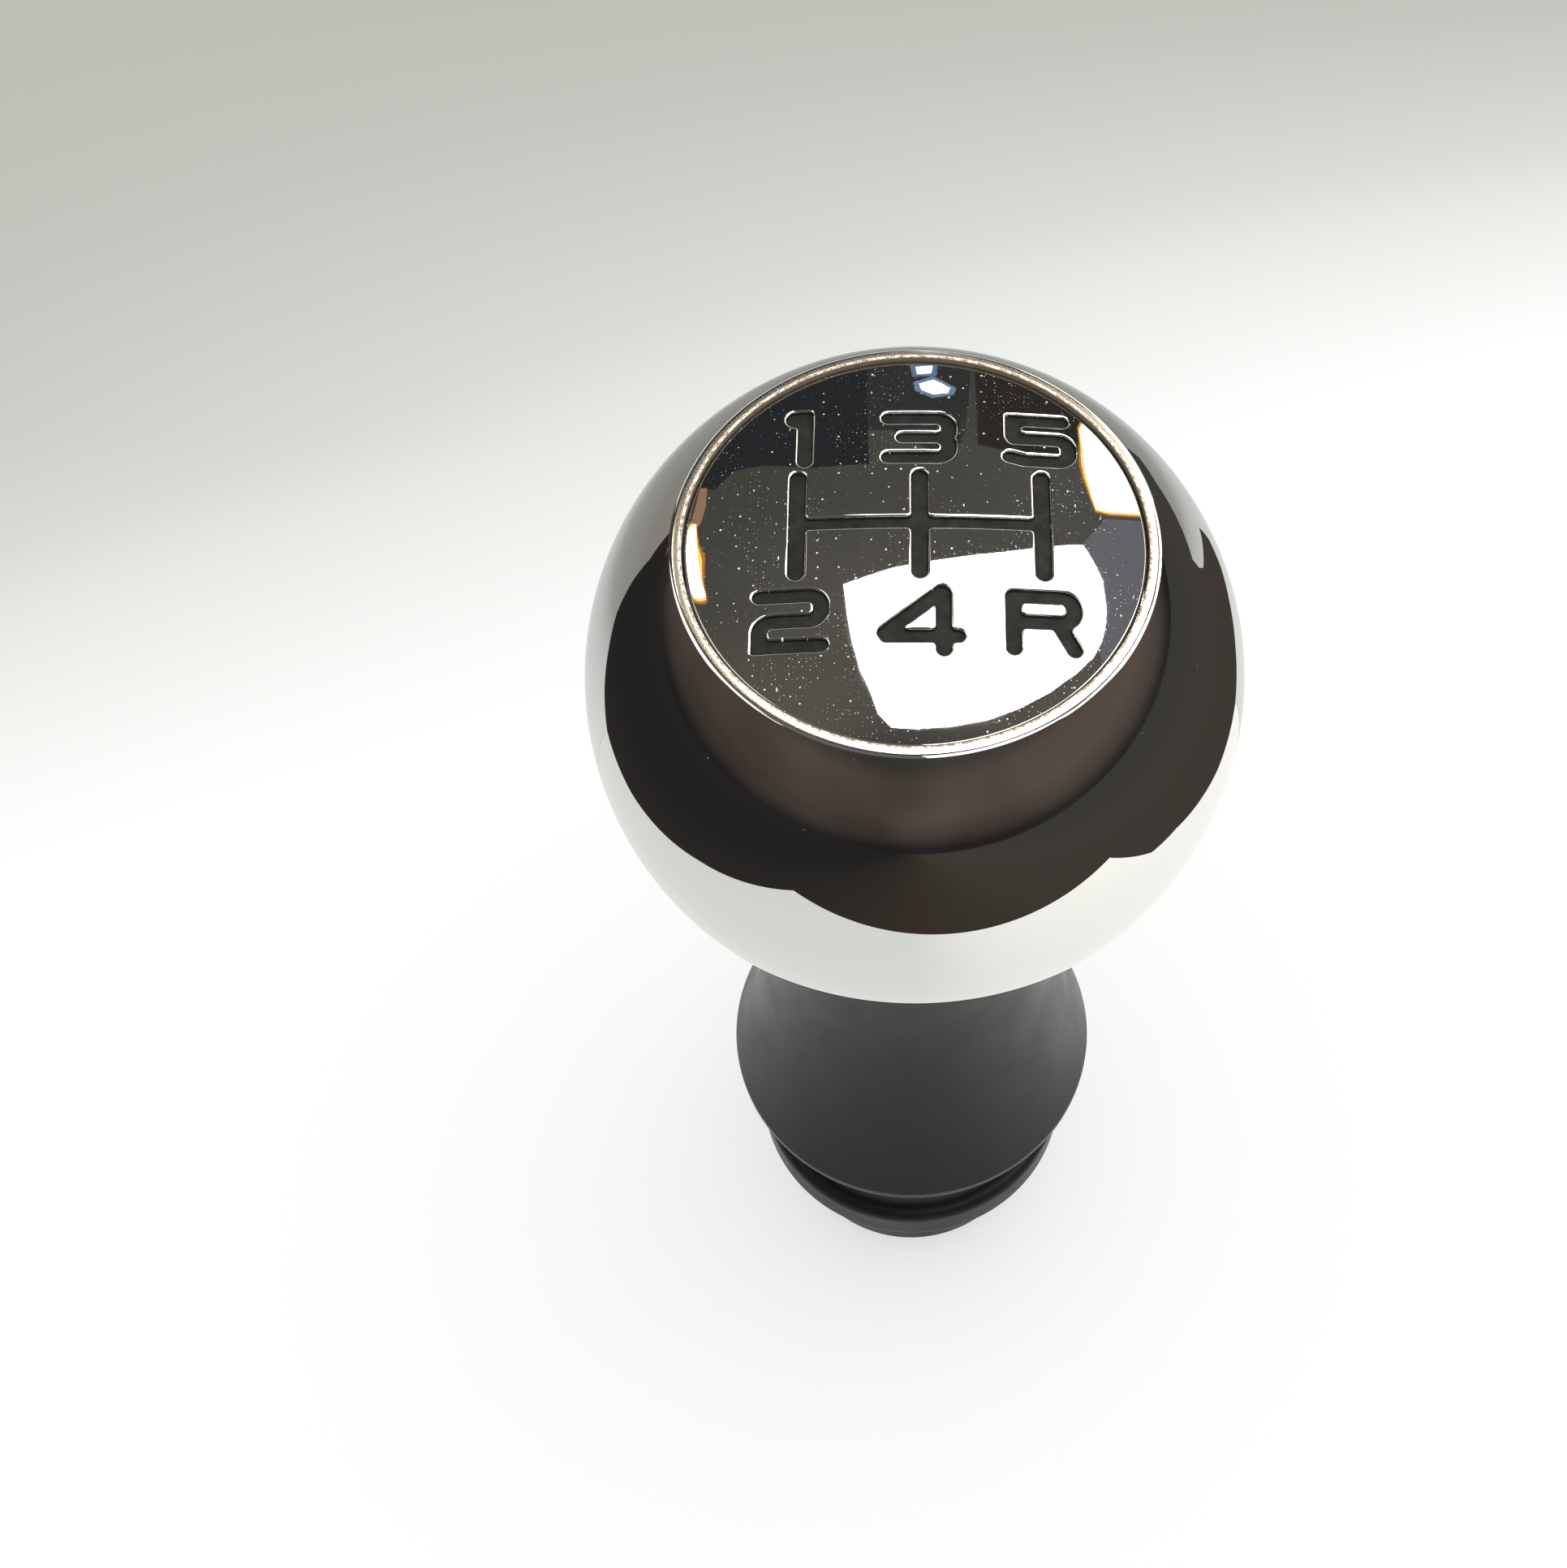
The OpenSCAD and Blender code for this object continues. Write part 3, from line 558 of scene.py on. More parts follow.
def engraved_strips(dome, outline, slope, pairs, levels):
    """Rows of points beside the outline, one for each level (offset, depth, tilt), and quads between them.

    A normal is the dome's, tilted into the engraving by the level's tilt in degrees.
    """
    points, normals, quads = [], [], []
    count = len(outline)
    lean = np.column_stack([-slope, np.zeros(count)])
    a, b = pairs[:, 0], pairs[:, 1]
    for k, (offset, depth, tilt) in enumerate(levels):
        on_dome, up = dome.at(offset_points(outline, slope, pairs, offset), depth)
        points.append(on_dome)
        normals.append(math.cos(math.radians(tilt)) * up + math.sin(math.radians(tilt)) * lean)
        if k:
            above, here = (k - 1) * count, k * count
            quads.append(np.stack([a + above, b + above, b + here, a + here], axis=1))
    return np.concatenate(points), np.concatenate(normals), np.concatenate(quads)


def plate_mesh(s):
    """The engraved plate.

    The dome between the strokes, the rolled edges, walls and filleted floors of the strokes, and the turned
    rim and underside.
    """
    dome = Dome(s)
    shapes = glyphs()
    outline, slope, pairs = pattern_outline(shapes)
    count = len(outline)
    depth, rim, fillet = s.engraving_depth / MM, s.engraving_rim / MM, 0.08
    wall, draft = -0.02, 0.01
    # First the rolled edge, then the fillet at the floor, which ends in the dome's own normal
    levels = [(wall + rim * (1 - math.sin(t)), rim * (1 - math.cos(t)), math.degrees(t))
              for t in np.linspace(0, math.pi / 2, 8)]
    levels += [(wall - draft - fillet * (1 - math.cos(t)), depth - fillet * (1 - math.sin(t)),
                90 - math.degrees(t)) for t in np.linspace(0, math.pi / 2, 5)]
    strip_points, strip_normals, strip_quads = engraved_strips(dome, outline, slope, pairs, levels)

    # The face round the engraving, out to the seam, and the engraving's floor
    face_spacing, face_margin, floor_spacing, floor_margin = 0.42, 0.2, 0.3, 0.12
    seam_inset = 0.25
    seam = SEAM_R * turn_directions()
    seam_points, seam_normals = dome.at(seam, 0)
    fills = fill_points(shapes, SEAM_R - seam_inset, face_spacing, low=rim + face_margin)
    face_2d = np.concatenate([offset_points(outline, slope, pairs, levels[0][0]), seam, fills])
    j = np.arange(TURN_STEPS)
    following = (j + 1) % TURN_STEPS
    face_tris = triangulate(face_2d, np.concatenate([pairs, count + np.stack([j, following], axis=1)]))
    face_points, face_normals = dome.at(fills, 0)
    last_offset = levels[-1][0]
    floor_fills = fill_points(shapes, SEAM_R, floor_spacing, high=last_offset - floor_margin)
    floor_edge = offset_points(outline, slope, pairs, last_offset)
    floor_tris = triangulate(np.concatenate([floor_edge, floor_fills]), pairs)
    floor_points, floor_normals = dome.at(floor_fills, depth)

    # The turned rest: the dome's border, the rolled edge, the foot and the underside up to the pole
    edge_r, plate_r = 0.25, s.plate_radius / MM
    edge_x = plate_r - edge_r
    edge_h = dome.centre + math.sqrt((dome.radius - edge_r) ** 2 - edge_x ** 2)
    edge_angle = math.degrees(math.atan2(edge_h - dome.centre, edge_x))
    foot_drop, foot_width, skin, last_angle = 2, 2.9, 1.5, 89.6
    foot_h, foot_x, inner = dome.lip_h - foot_drop, plate_r - foot_width, dome.radius - skin
    under_angle = math.degrees(math.acos(foot_x / inner))
    under_h = dome.centre + inner * math.sin(math.radians(under_angle))
    profile, profile_normals = join_stretches([
        arc(0, dome.centre, dome.radius, math.degrees(math.acos(SEAM_R / dome.radius)), edge_angle, 3),
        arc(edge_x, edge_h, edge_r, edge_angle, 0, 14),
        line(plate_r, edge_h, plate_r, foot_h, 2),
        line(plate_r, foot_h, foot_x, foot_h),
        line(foot_x, foot_h, foot_x, under_h),
        arc(0, dome.centre, inner, under_angle, last_angle, 8, inward=True),
    ])
    turned_points, turned_normals, turned_quads = revolve(profile[::-1], profile_normals[::-1], closed=False)

    # Blocks of points: strips, seam ring, face fills, floor fills, turned rings without the seam, pole
    turned_count = (len(profile) - 1) * TURN_STEPS
    seam_from = len(strip_points)
    fills_from = seam_from + TURN_STEPS
    floors_from = fills_from + len(fills)
    turned_from = floors_from + len(floor_fills)
    pole = turned_from + turned_count
    face_tris += np.where(face_tris < count, 0, seam_from - count)
    floor_tris += np.where(floor_tris < count, (len(levels) - 1) * count, floors_from - count)
    turned_quads += np.where(turned_quads < turned_count, turned_from, seam_from - turned_count)
    cap = np.stack([np.full(TURN_STEPS, pole), turned_from + following, turned_from + j], axis=1)
    blocks = (strip_quads, face_tris, floor_tris, turned_quads, cap)
    faces = [face for block in blocks for face in block.tolist()]
    points = np.concatenate([strip_points, seam_points, face_points, floor_points,
                             turned_points[:turned_count], [[0, 0, dome.centre + inner]]])
    normals = np.concatenate([strip_normals, seam_normals, face_normals, floor_normals,
                              turned_normals[:turned_count], [[0, 0, -1]]])
    return points, normals, faces


def enamel_mesh(s):
    """The enamel in the strokes: a thin slab whose top dips a little from where it wets the walls."""
    dome = Dome(s)
    shapes = glyphs()
    outline, slope, pairs = pattern_outline(shapes)
    count = len(outline)
    depth, thickness, spacing, margin = s.engraving_depth / MM, 0.12, 0.3, 0.1
    # The first two rows are the slab's foot and side; the tilt of 270 degrees faces them outwards
    top = depth - thickness
    levels = [(-0.045, depth - 0.005, 270), (-0.045, top - 0.02, 270), (-0.07, top - 0.01, 20),
              (-0.11, top, 5), (-0.16, top, 0)]
    points, normals, quads = engraved_strips(dome, outline, slope, pairs, levels)
    low_offset, top_offset = levels[0][0], levels[-1][0]
    fills = fill_points(shapes, SEAM_R, spacing, high=top_offset - margin)
    top_edge = offset_points(outline, slope, pairs, top_offset)
    top_tris = triangulate(np.concatenate([top_edge, fills]), pairs)
    low_tris = triangulate(offset_points(outline, slope, pairs, low_offset), pairs)
    top_points, top_normals = dome.at(fills, top)
    top_tris += np.where(top_tris < count, (len(levels) - 1) * count, len(points) - count)
    faces = quads.tolist() + top_tris.tolist() + low_tris[:, ::-1].tolist()
    return np.concatenate([points, top_points]), np.concatenate([normals, top_normals]), faces


# Shader nodes

RANGE_ENDS = ("From Min", "From Max", "To Min", "To Max")
MIX_SOCKETS = {"VECTOR": (4, 5, 1), "RGBA": (6, 7, 2)}  # inputs A and B, and the result


class Nodes:
    """The shader tree of a material or world, with short ways to add nodes.

    An input's value is a number, a colour, a vector, or the socket to join it to. A noise's scale counts
    features in a metre; every other length is in metres.
    """

    def __init__(self, owner, place="Object", clear=True):
        owner.use_nodes = True
        self.tree = owner.node_tree
        if clear:
            self.tree.nodes.clear()
        self.place = self.add("TexCoord").outputs[place]

    def fill(self, node, values):
        for key, value in values.items():
            socket = node.inputs[key]
            if isinstance(value, bpy.types.NodeSocket):
                self.tree.links.new(value, socket)
            else:
                socket.default_value = (*value, 1) if socket.type == "RGBA" else value

    def add(self, kind, values=(), **settings):
        node = self.tree.nodes.new("ShaderNode" + kind)
        for key, value in settings.items():
            setattr(node, key, value)
        self.fill(node, dict(values))
        return node

    def split(self):
        """The x, y and z of the place."""
        return self.add("SeparateXYZ", {0: self.place}).outputs

    def math(self, operation, *values):
        return self.add("Math", dict(enumerate(values)), operation=operation).outputs[0]

    def noise(self, scale, detail=2.0, roughness=0.5):
        values = {"Scale": scale, "Detail": detail, "Roughness": roughness, "Vector": self.place}
        return self.add("TexNoise", values).outputs["Fac"]

    def range(self, value, *ends, curve="LINEAR"):
        """The value carried from one range (low, high) to another, and held within it."""
        values = {"Value": value, **dict(zip(RANGE_ENDS, ends))}
        return self.add("MapRange", values, interpolation_type=curve).outputs["Result"]

    def ramp(self, along, stops):
        """The colour at a position along (position, colour) stops."""
        node = self.add("ValToRGB", {0: along})
        elements = node.color_ramp.elements
        for element, (position, colour) in zip(elements, (stops[0], stops[-1])):
            element.position, element.color = position, (*colour, 1)
        for position, colour in stops[1:-1]:
            elements.new(position).color = (*colour, 1)
        return node.outputs[0]

    def mix(self, factor, a, b, kind="RGBA"):
        """One colour fading into another, or one normal into another if the kind is VECTOR."""
        first, second, result = MIX_SOCKETS[kind]
        return self.add("Mix", {"Factor": factor, first: a, second: b}, data_type=kind).outputs[result]


class Finish(Nodes):
    """A material made of one principled shader."""

    def __init__(self, name, colour, metallic, roughness):
        self.material = bpy.data.materials.new(name)
        super().__init__(self.material, clear=False)
        self.to({"Base Color": colour, "Metallic": metallic, "Roughness": roughness})

    def to(self, values):
        self.fill(self.tree.nodes["Principled BSDF"], values)

    def bump(self, height, distance, strength=1.0, below=()):
        """A normal from a height; below may hold the normal of another bump, as {"Normal": socket}."""
        values = {"Height": height, "Distance": distance, "Strength": strength, **dict(below)}
        return self.add("Bump", values).outputs["Normal"]

    def specks(self, cell, size, share, stretch=None, flat=True):
        """1 inside small round specks of up to this size, and 0 elsewhere.

        Each cell may hold one, and only this share of the cells does. Flat ones are laid out in x and y.
        """
        least = 0.3  # the smallest speck over the largest
        place = self.place
        if stretch:
            place = self.add("Mapping", {"Vector": place, "Scale": stretch}).outputs[0]
        found = self.add("TexVoronoi", {"Scale": 1 / cell, "Vector": place},
                         feature="F1", voronoi_dimensions="2D" if flat else "3D").outputs
        pick = self.add("SeparateColor", {0: found["Color"]}).outputs
        reach = self.math("MULTIPLY_ADD", pick[1], size / cell * (1 - least), size / cell * least)
        here = self.math("LESS_THAN", found["Distance"], reach)
        return self.math("MULTIPLY", here, self.math("LESS_THAN", pick[0], share))


def scaled(colour, factor):
    """A colour made darker or lighter."""
    return tuple(min(1, channel * factor) for channel in colour)


# Finishes


def ball_finish(colours, s):
    """Mirror-bright metal with faint waviness, smears and sparse specks.

    The lip is brushed and tinted golden as a painted warm reflection, its inner edge coarse and glittering,
    and the recess painted dark as shade.
    """
    f = Finish("mirror_ball", colours.ball, 1.0, 0.03)
    x, y, z = f.split()
    lip_h = s.ball_height + math.sqrt(s.ball_radius ** 2 - s.lip_radius ** 2)
    distance = f.math("SQRT", f.math("ADD", f.math("MULTIPLY", x, x), f.math("MULTIPLY", y, y)))

    def mask(low, high, radius, outer, inner):
        """1 above the lip's height plus high and nearer the axis than the radius plus inner, all in mm."""
        above = f.range(z, lip_h + low * MM, lip_h + high * MM, 0, 1)
        return f.math("MULTIPLY", above, f.range(distance, radius + outer * MM, radius + inner * MM, 0, 1))

    on_lip = mask(-0.12, -0.06, s.lip_radius, -0.06, -0.20)
    inner_edge = mask(-0.12, -0.06, s.recess_radius, 0.27, 0.17)
    # Painted shade: inside this mask the recess round the plate is made dark, matt and not metal.
    shaded_recess = mask(-3, -2.5, s.recess_radius, 0.06, 0.03)
    grain = f.noise(14000, 2, 0.6)
    wavy = f.bump(f.noise(60, 1), 0.00002, 0.12)
    brushed = f.bump(grain, 0.000006, 0.25)
    jagged = f.bump(grain, 0.00006)
    specks = f.specks(0.0021, 0.00008, 0.55, flat=False)
    smears = f.range(f.noise(90, 3), 0.45, 0.7, 0.012, 0.035)
    gilt = f.mix(f.range(f.noise(2500), 0.4, 0.6, 0, 1), (0.42, 0.33, 0.20), (0.95, 0.90, 0.78))
    # Painted reflection: the lip's golden tint stands in for warm light mirrored in the chrome.
    bright = f.mix(inner_edge, f.mix(on_lip, colours.ball, (0.96, 0.85, 0.68)), gilt)
    # Painted shade: the recess takes a dark brown in place of the bright metal.
    bright = f.mix(shaded_recess, bright, (0.15, 0.12, 0.085))
    dull = f.math("MAXIMUM", f.math("MULTIPLY", on_lip, 0.22), f.math("MULTIPLY", shaded_recess, 0.6))
    f.to({
        "Base Color": f.mix(specks, bright, (0.16, 0.155, 0.15)),
        "Metallic": f.math("SUBTRACT", 1.0, f.math("MAXIMUM", specks, shaded_recess)),
        "Roughness": f.math("MAXIMUM", dull, smears),
        "Normal": f.mix(inner_edge, f.mix(on_lip, wavy, brushed, "VECTOR"), jagged, "VECTOR"),
    })
    return f.material


def plate_finish(colours):
    """Mirror-bright metal under a scatter of fine white dust and a few short hairs."""
    f = Finish("mirror_plate", colours.plate, 1.0, 0.03)
    large = f.specks(0.00115, 0.00008, 0.42)
    middle = f.specks(0.00062, 0.00005, 0.34)
    fine = f.specks(0.0003, 0.000028, 0.4)
    hairs = f.specks(0.0016, 0.00006, 0.14, stretch=(1, 0.3, 1))
    patchy = f.range(f.noise(230), 0.47, 0.60, 0, 1, curve="SMOOTHSTEP")
    small = f.math("MAXIMUM", fine, f.math("MAXIMUM", middle, hairs))
    dust = f.math("MAXIMUM", f.math("MULTIPLY", small, f.range(patchy, 0, 1, 0.12, 0.55)), large)
    haze = f.range(f.noise(120, 3), 0.4, 0.75, 0.01, 0.035)
    ripple = f.bump(f.noise(4500), 0.00000006)
    f.to({
        "Base Color": f.mix(dust, colours.plate, (0.88, 0.88, 0.86)),
        "Metallic": f.math("SUBTRACT", 1.0, dust),
        "Roughness": f.math("MAXIMUM", f.math("MULTIPLY", dust, 0.7), haze),
        "Normal": f.bump(f.noise(90, 1), 0.00002, 0.08, {"Normal": ripple}),
    })
    return f.material


def enamel_finish(colours):
    """Matt olive-black paint with brush-dragged unevenness and a little grey dust."""
    f = Finish("matt_enamel", colours.enamel, 0.0, 0.55)
    tone = f.range(f.noise(900, 4, 0.6), 0.35, 0.65, 0, 1)
    base = f.mix(tone, scaled(colours.enamel, 0.75), scaled(colours.enamel, 1.35))
    f.to({
        "Base Color": f.mix(f.specks(0.0009, 0.00005, 0.25, flat=False), base, (0.4, 0.4, 0.38)),
        "Roughness": f.range(f.noise(1500), 0.3, 0.7, 0.45, 0.65),
        "Normal": f.bump(f.noise(5000, 3, 0.6), 0.00002, 0.5),
        "Specular IOR Level": 0.12,
    })
    return f.material


def moulded_finish(name, colour, roughness, grain=0.5, mould_line=False):
    """Moulded black plastic: fine grain, uneven sheen, and the mould's parting line where asked."""
    f = Finish(name, colour, 0.0, roughness)
    tone = f.range(f.noise(55, 3, 0.55), 0.35, 0.65, 0, 1)
    height = f.noise(7000, 3, 0.6)
    if mould_line:
        x = f.split()[0]
        line_here = f.range(f.math("ABSOLUTE", x), 0.0, 0.00012, 1, 0, curve="SMOOTHSTEP")
        height = f.math("MULTIPLY_ADD", line_here, 1.2, height)
    f.to({
        "Base Color": f.mix(tone, scaled(colour, 0.85), scaled(colour, 1.2)),
        "Roughness": f.range(f.noise(150, 3, 0.6), 0.3, 0.7, roughness - 0.05, roughness + 0.06),
        "Normal": f.bump(height, 0.00001, grain),
        "Specular IOR Level": 0.15,
    })
    return f.material


def metal_finish(name, colour, roughness, rings):
    """Turned metal: fine rings from the cutting tool, stacked along the axis, and a slight tarnish."""
    f = Finish(name, colour, 1.0, roughness)
    groove = f.math("SINE", f.math("MULTIPLY", f.split()[2], rings))
    tarnish = f.range(f.noise(180, 4, 0.6), 0.4, 0.7, 0, 1)
    f.to({
        "Base Color": f.mix(tarnish, colour, scaled(colour, 0.62)),
        "Roughness": f.range(tarnish, 0, 1, roughness, roughness + 0.15),
        "Normal": f.bump(f.math("MULTIPLY_ADD", f.noise(3000), 0.5, groove), 0.000008, 0.4),
    })
    return f.material


def tape_finish():
    """Pale foam tape with fine cells."""
    f = Finish("foam_tape", (0.72, 0.71, 0.67), 0.0, 0.85)
    cells = f.noise(4000, 3, 0.7)
    f.to({
        "Base Color": f.mix(f.range(cells, 0.3, 0.7, 0, 1), (0.62, 0.61, 0.57), (0.78, 0.77, 0.73)),
        "Normal": f.bump(cells, 0.00004, 0.6),
    })
    return f.material


def dress_node(name, material):
    """The CAD node keeps its mesh and wears this finish."""
    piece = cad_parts[name]
    for holder in piece.material_slots:
        holder.material = material


# Studio

PLATE_MIDDLE = (0, 0, 0.114)

# Heights in metres of the layers that reflections show on the floor
FRONT_H, DESK_H, BACK_H = 0.0003, 0.0004, 0.0006

# The sheet of paper that the knob stands on, in plan and in mm: its near part, and its far part that
# curls up behind
PAPER = [(-128, 33), (-125, 0), (-127, -35), (-129, -68), (-120, -187), (160, -113), (119, -43),
         (119, -21), (111, 4), (104, 22), (99, 50)]
PAPER_BACK = [(99, 50), (103, 70), (98, 87), (89, 96), (92, 109), (114, 129), (159, 140), (202, 149),
              (236, 166), (274, 196), (253, 215), (209, 256), (166, 248), (500, 1300), (-300, 1600),
              (-1400, 1100), (-480, 312), (-298, 181), (-209, 113), (-177, 79), (-148, 53), (-128, 33)]

# Colours along the floor's layers, from a place in metres
PAPER_STOPS = [(-0.13, (0.80, 0.81, 0.79)), (0.0, (0.83, 0.84, 0.82)), (0.03, (0.97, 0.98, 0.95)),
               (0.06, (1.05, 1.05, 1.02)), (0.16, (1.2, 1.2, 1.16))]
DESK_STOPS = [(-1.2, (0.022, 0.021, 0.020)), (-0.25, (0.019, 0.019, 0.020)), (-0.1, (0.030, 0.026, 0.024)),
              (0.0, (0.044, 0.034, 0.028)), (0.1, (0.056, 0.048, 0.040)), (0.3, (0.060, 0.054, 0.046)),
              (1.2, (0.052, 0.050, 0.044))]
BACK_STOPS = [(0.05, (0.80, 0.82, 0.80)), (0.10, (0.62, 0.645, 0.635)), (0.117, (0.56, 0.58, 0.57)),
              (0.135, (0.47, 0.48, 0.46)), (0.153, (0.37, 0.375, 0.36)), (0.195, (0.32, 0.32, 0.30)),
              (0.35, (0.27, 0.265, 0.24))]

# How far the floor has turned from its near colour to its far colour, which is painted shade, by place in
# metres
FLOOR_SHADE_SHARES = [(0.0, 0.0), (0.07, 0.0), (0.085, 0.09), (0.095, 0.2), (0.105, 0.31), (0.115, 0.43),
                (0.126, 0.61), (0.144, 0.77), (0.160, 0.89), (0.176, 0.96), (0.195, 1.0), (0.26, 1.04)]

# The dim room that reflections show, from straight below to straight above
ROOM_STOPS = [(0.0, (0.024, 0.022, 0.022)), (0.07, (0.062, 0.051, 0.044)), (0.2, (0.092, 0.072, 0.058)),
              (0.40, (0.085, 0.066, 0.054)), (0.5, (0.046, 0.042, 0.039)), (0.60, (0.060, 0.058, 0.053)),
              (0.68, (0.075, 0.072, 0.064)), (0.76, (0.088, 0.084, 0.075)), (0.84, (0.110, 0.104, 0.092)),
              (0.90, (0.135, 0.124, 0.106)), (0.968, (0.14, 0.127, 0.108)), (0.986, (0.08, 0.075, 0.07)),
              (1.0, (0.075, 0.07, 0.066))]

# Borders of the lamps: (width, colour, strength) of each wider card behind
AMBER_GLOW, ORANGE_GLOW = ((1.0, 0.72, 0.22), 1.3), ((1.0, 0.42, 0.07), 0.55)
BLUE = (0.35, 0.55, 0.85)

# Cards that the plate mirrors: name, colour, strength, borders, corners in mm
CARDS = [
    ("window_card", (1, 1, 1), 9.0, (),
     [(-104, 421, 879), (-79, 430, 877), (-30, 447, 870), (43, 461, 862), (139, 476, 842), (233, 491, 810),
      (250, 492, 804), (266, 466, 815), (281, 436, 828), (289, 396, 847), (291, 365, 862), (287, 334, 877),
      (275, 305, 892), (252, 277, 910), (213, 242, 931), (167, 212, 949), (116, 190, 962), (61, 178, 971),
      (5, 173, 974), (-34, 176, 973), (-54, 199, 966), (-70, 248, 952), (-82, 276, 943), (-93, 325, 924),
      (-99, 366, 906)]),
    ("warm_lamp_right", (1, 0.97, 0.88), 5.0, ((0.005, *AMBER_GLOW), (0.009, *ORANGE_GLOW)),
     [(235, 685, 633), (230, 671, 652), (236, 648, 675), (241, 623, 700), (246, 602, 717), (255, 575, 738),
      (264, 552, 754), (282, 548, 750), (306, 548, 740), (336, 547, 726), (331, 578, 702), (318, 605, 683),
      (302, 626, 669), (283, 647, 656), (262, 668, 642), (247, 681, 633)]),
    ("warm_lamp_left", (1, 0.96, 0.84), 5.0, ((0.007, *AMBER_GLOW), (0.013, *ORANGE_GLOW)),
     [(-314, 530, 751), (-311, 529, 753), (-313, 510, 766), (-314, 489, 781), (-314, 471, 793),
      (-313, 443, 811), (-309, 418, 827), (-309, 411, 831), (-315, 409, 829), (-322, 411, 825),
      (-335, 426, 811), (-345, 447, 795), (-350, 473, 775), (-350, 490, 763), (-340, 507, 756)]),
    ("warm_band_left", (0.36, 0.21, 0.13), 1.0, (),
     [(-300, 590, 712), (-291, 589, 717), (-296, 560, 740), (-305, 536, 756), (-311, 528, 759),
      (-318, 529, 756), (-317, 542, 746), (-308, 567, 729)]),
    ("cool_lamp", (0.9, 0.96, 1), 4.0, ((0.009, BLUE, 0.5),),
     [(10, 735, 617), (29, 741, 609), (51, 730, 623), (49, 723, 632), (29, 721, 636), (13, 727, 628)]),
    ("cool_lamp_far", (0.85, 0.94, 1), 2.0, ((0.009, BLUE, 0.4),),
     [(5, 759, 585), (28, 761, 581), (26, 750, 597), (7, 749, 599)]),
    ("shade_left", (0.025, 0.026, 0.030), 1.0, (),
     [(-322, 636, 754), (-311, 689, 706), (-281, 746, 653), (-225, 787, 622), (-142, 816, 608),
      (-62, 829, 601), (-66, 760, 695), (-66, 665, 795), (-154, 660, 788), (-226, 666, 762),
      (-269, 660, 754), (-302, 629, 769)]),
    ("shade_middle", (0.040, 0.039, 0.039), 1.0, (),
     [(-71, 838, 606), (5, 843, 602), (84, 836, 607), (84, 767, 701), (77, 708, 767), (32, 693, 785),
      (-29, 728, 750), (-75, 729, 746)]),
    ("shade_right", (0.032, 0.029, 0.025), 1.0, (),
     [(88, 825, 604), (168, 812, 606), (257, 775, 626), (248, 705, 715), (242, 677, 747), (169, 683, 763),
      (99, 697, 761)]),
    ("blue_shade", (0.16, 0.16, 0.18), 1.0, (),
     [(262, 520, 830), (290, 560, 790), (360, 560, 760), (380, 471, 820), (360, 360, 880), (300, 310, 920),
      (270, 400, 900)]),
]

# Cards that light the lip: name, colour, strength, distance in metres, and the corners as directions
# (azimuth, elevation) from the plate; azimuth 0 is away from the driver
FAR_CARDS = [
    ("lamp_behind_right", (1, 0.98, 0.95), 2.2, 1.1,
     [(100, 44), (138, 44), (175, 44), (175, 62), (175, 76), (100, 76), (100, 60)]),
    ("lamp_behind_left", (0.9, 0.93, 0.9), 0.16, 1.1,
     [(175, 40), (215, 40), (250, 44), (250, 76), (175, 76)]),
    ("window_right", (1, 1, 1), 5.0, 1.2,
     [(58, 20), (78, 20), (95, 20), (100, 34), (118, 36), (118, 50), (88, 56), (58, 50)]),
    ("wall_left", (1, 0.93, 0.90), 1.6, 1.2,
     [(-125, 36), (-102, 34), (-95, 20), (-78, 20), (-58, 20), (-58, 50), (-90, 56), (-125, 50)]),
    ("glow_right", (1, 0.9, 0.72), 2.5, 1.2,
     [(22, 16), (40, 16), (57, 16), (57, 44), (46, 46), (34, 41), (24, 32)]),
    ("glow_behind", (1, 0.9, 0.74), 2.2, 1.25,
     [(12, 16), (36, 16), (34, 40), (29, 37), (21, 31), (12, 27)]),
    ("wall_behind", (0.86, 0.94, 1), 0.9, 1.5,
     [(-45, 2), (-15, 2), (15, 2), (45, 2), (45, 22), (15, 22), (-15, 22), (-45, 22)]),
]


def glow_material(name, strength=1.0, colour=(1, 1, 1), stops=(), direction=(1, 0)):
    """A glowing surface. Stops of (metres, colour) let its colour follow the place along a direction."""
    material = bpy.data.materials.new(name)
    n = Nodes(material)
    if stops:
        along = n.add("VectorMath", {0: n.place, 1: (*direction, 0)}, operation="DOT_PRODUCT")
        low, high = stops[0][0], stops[-1][0]
        shares = [((at - low) / (high - low), tint) for at, tint in stops]
        colour = n.ramp(n.range(along.outputs["Value"], low, high, 0, 1), shares)
    glow = n.add("Emission", {"Color": colour, "Strength": strength})
    n.add("OutputMaterial", {"Surface": glow.outputs[0]})
    return material


def stage_piece(name, points, material, faces=None, only_reflected=True):
    """A stage mesh from points in metres, one face round them all unless faces are given.

    The cards are seen only in reflections, as they stand outside the picture.
    """
    mesh = bpy.data.meshes.new(name)
    mesh.from_pydata([tuple(p) for p in points], [], faces or [list(range(len(points)))])
    mesh.materials.append(material)
    piece = bpy.data.objects.new(name, mesh)
    bpy.context.scene.collection.objects.link(piece)
    if only_reflected:
        piece.visible_camera = False
        piece.visible_diffuse = False
        piece.visible_shadow = False
        piece.visible_volume_scatter = False


def reflected_card(name, corners, colour, strength, borders=()):
    """A card with these corners, and behind it a wider card for each border (width, colour, strength)."""
    step_back = 0.004
    stage_piece(name, corners, glow_material(name, strength, colour))
    middle = corners.mean(axis=0)
    away = corners - middle
    from_plate = middle - PLATE_MIDDLE
    for k, (width, tint, glow) in enumerate(borders, 1):
        wider = middle + away * (1 + width / np.linalg.norm(away, axis=1, keepdims=True))
        wider += step_back * k * from_plate / np.linalg.norm(from_plate)
        label = f"{name}_border_{k}"
        stage_piece(label, wider, glow_material(label, glow, tint))


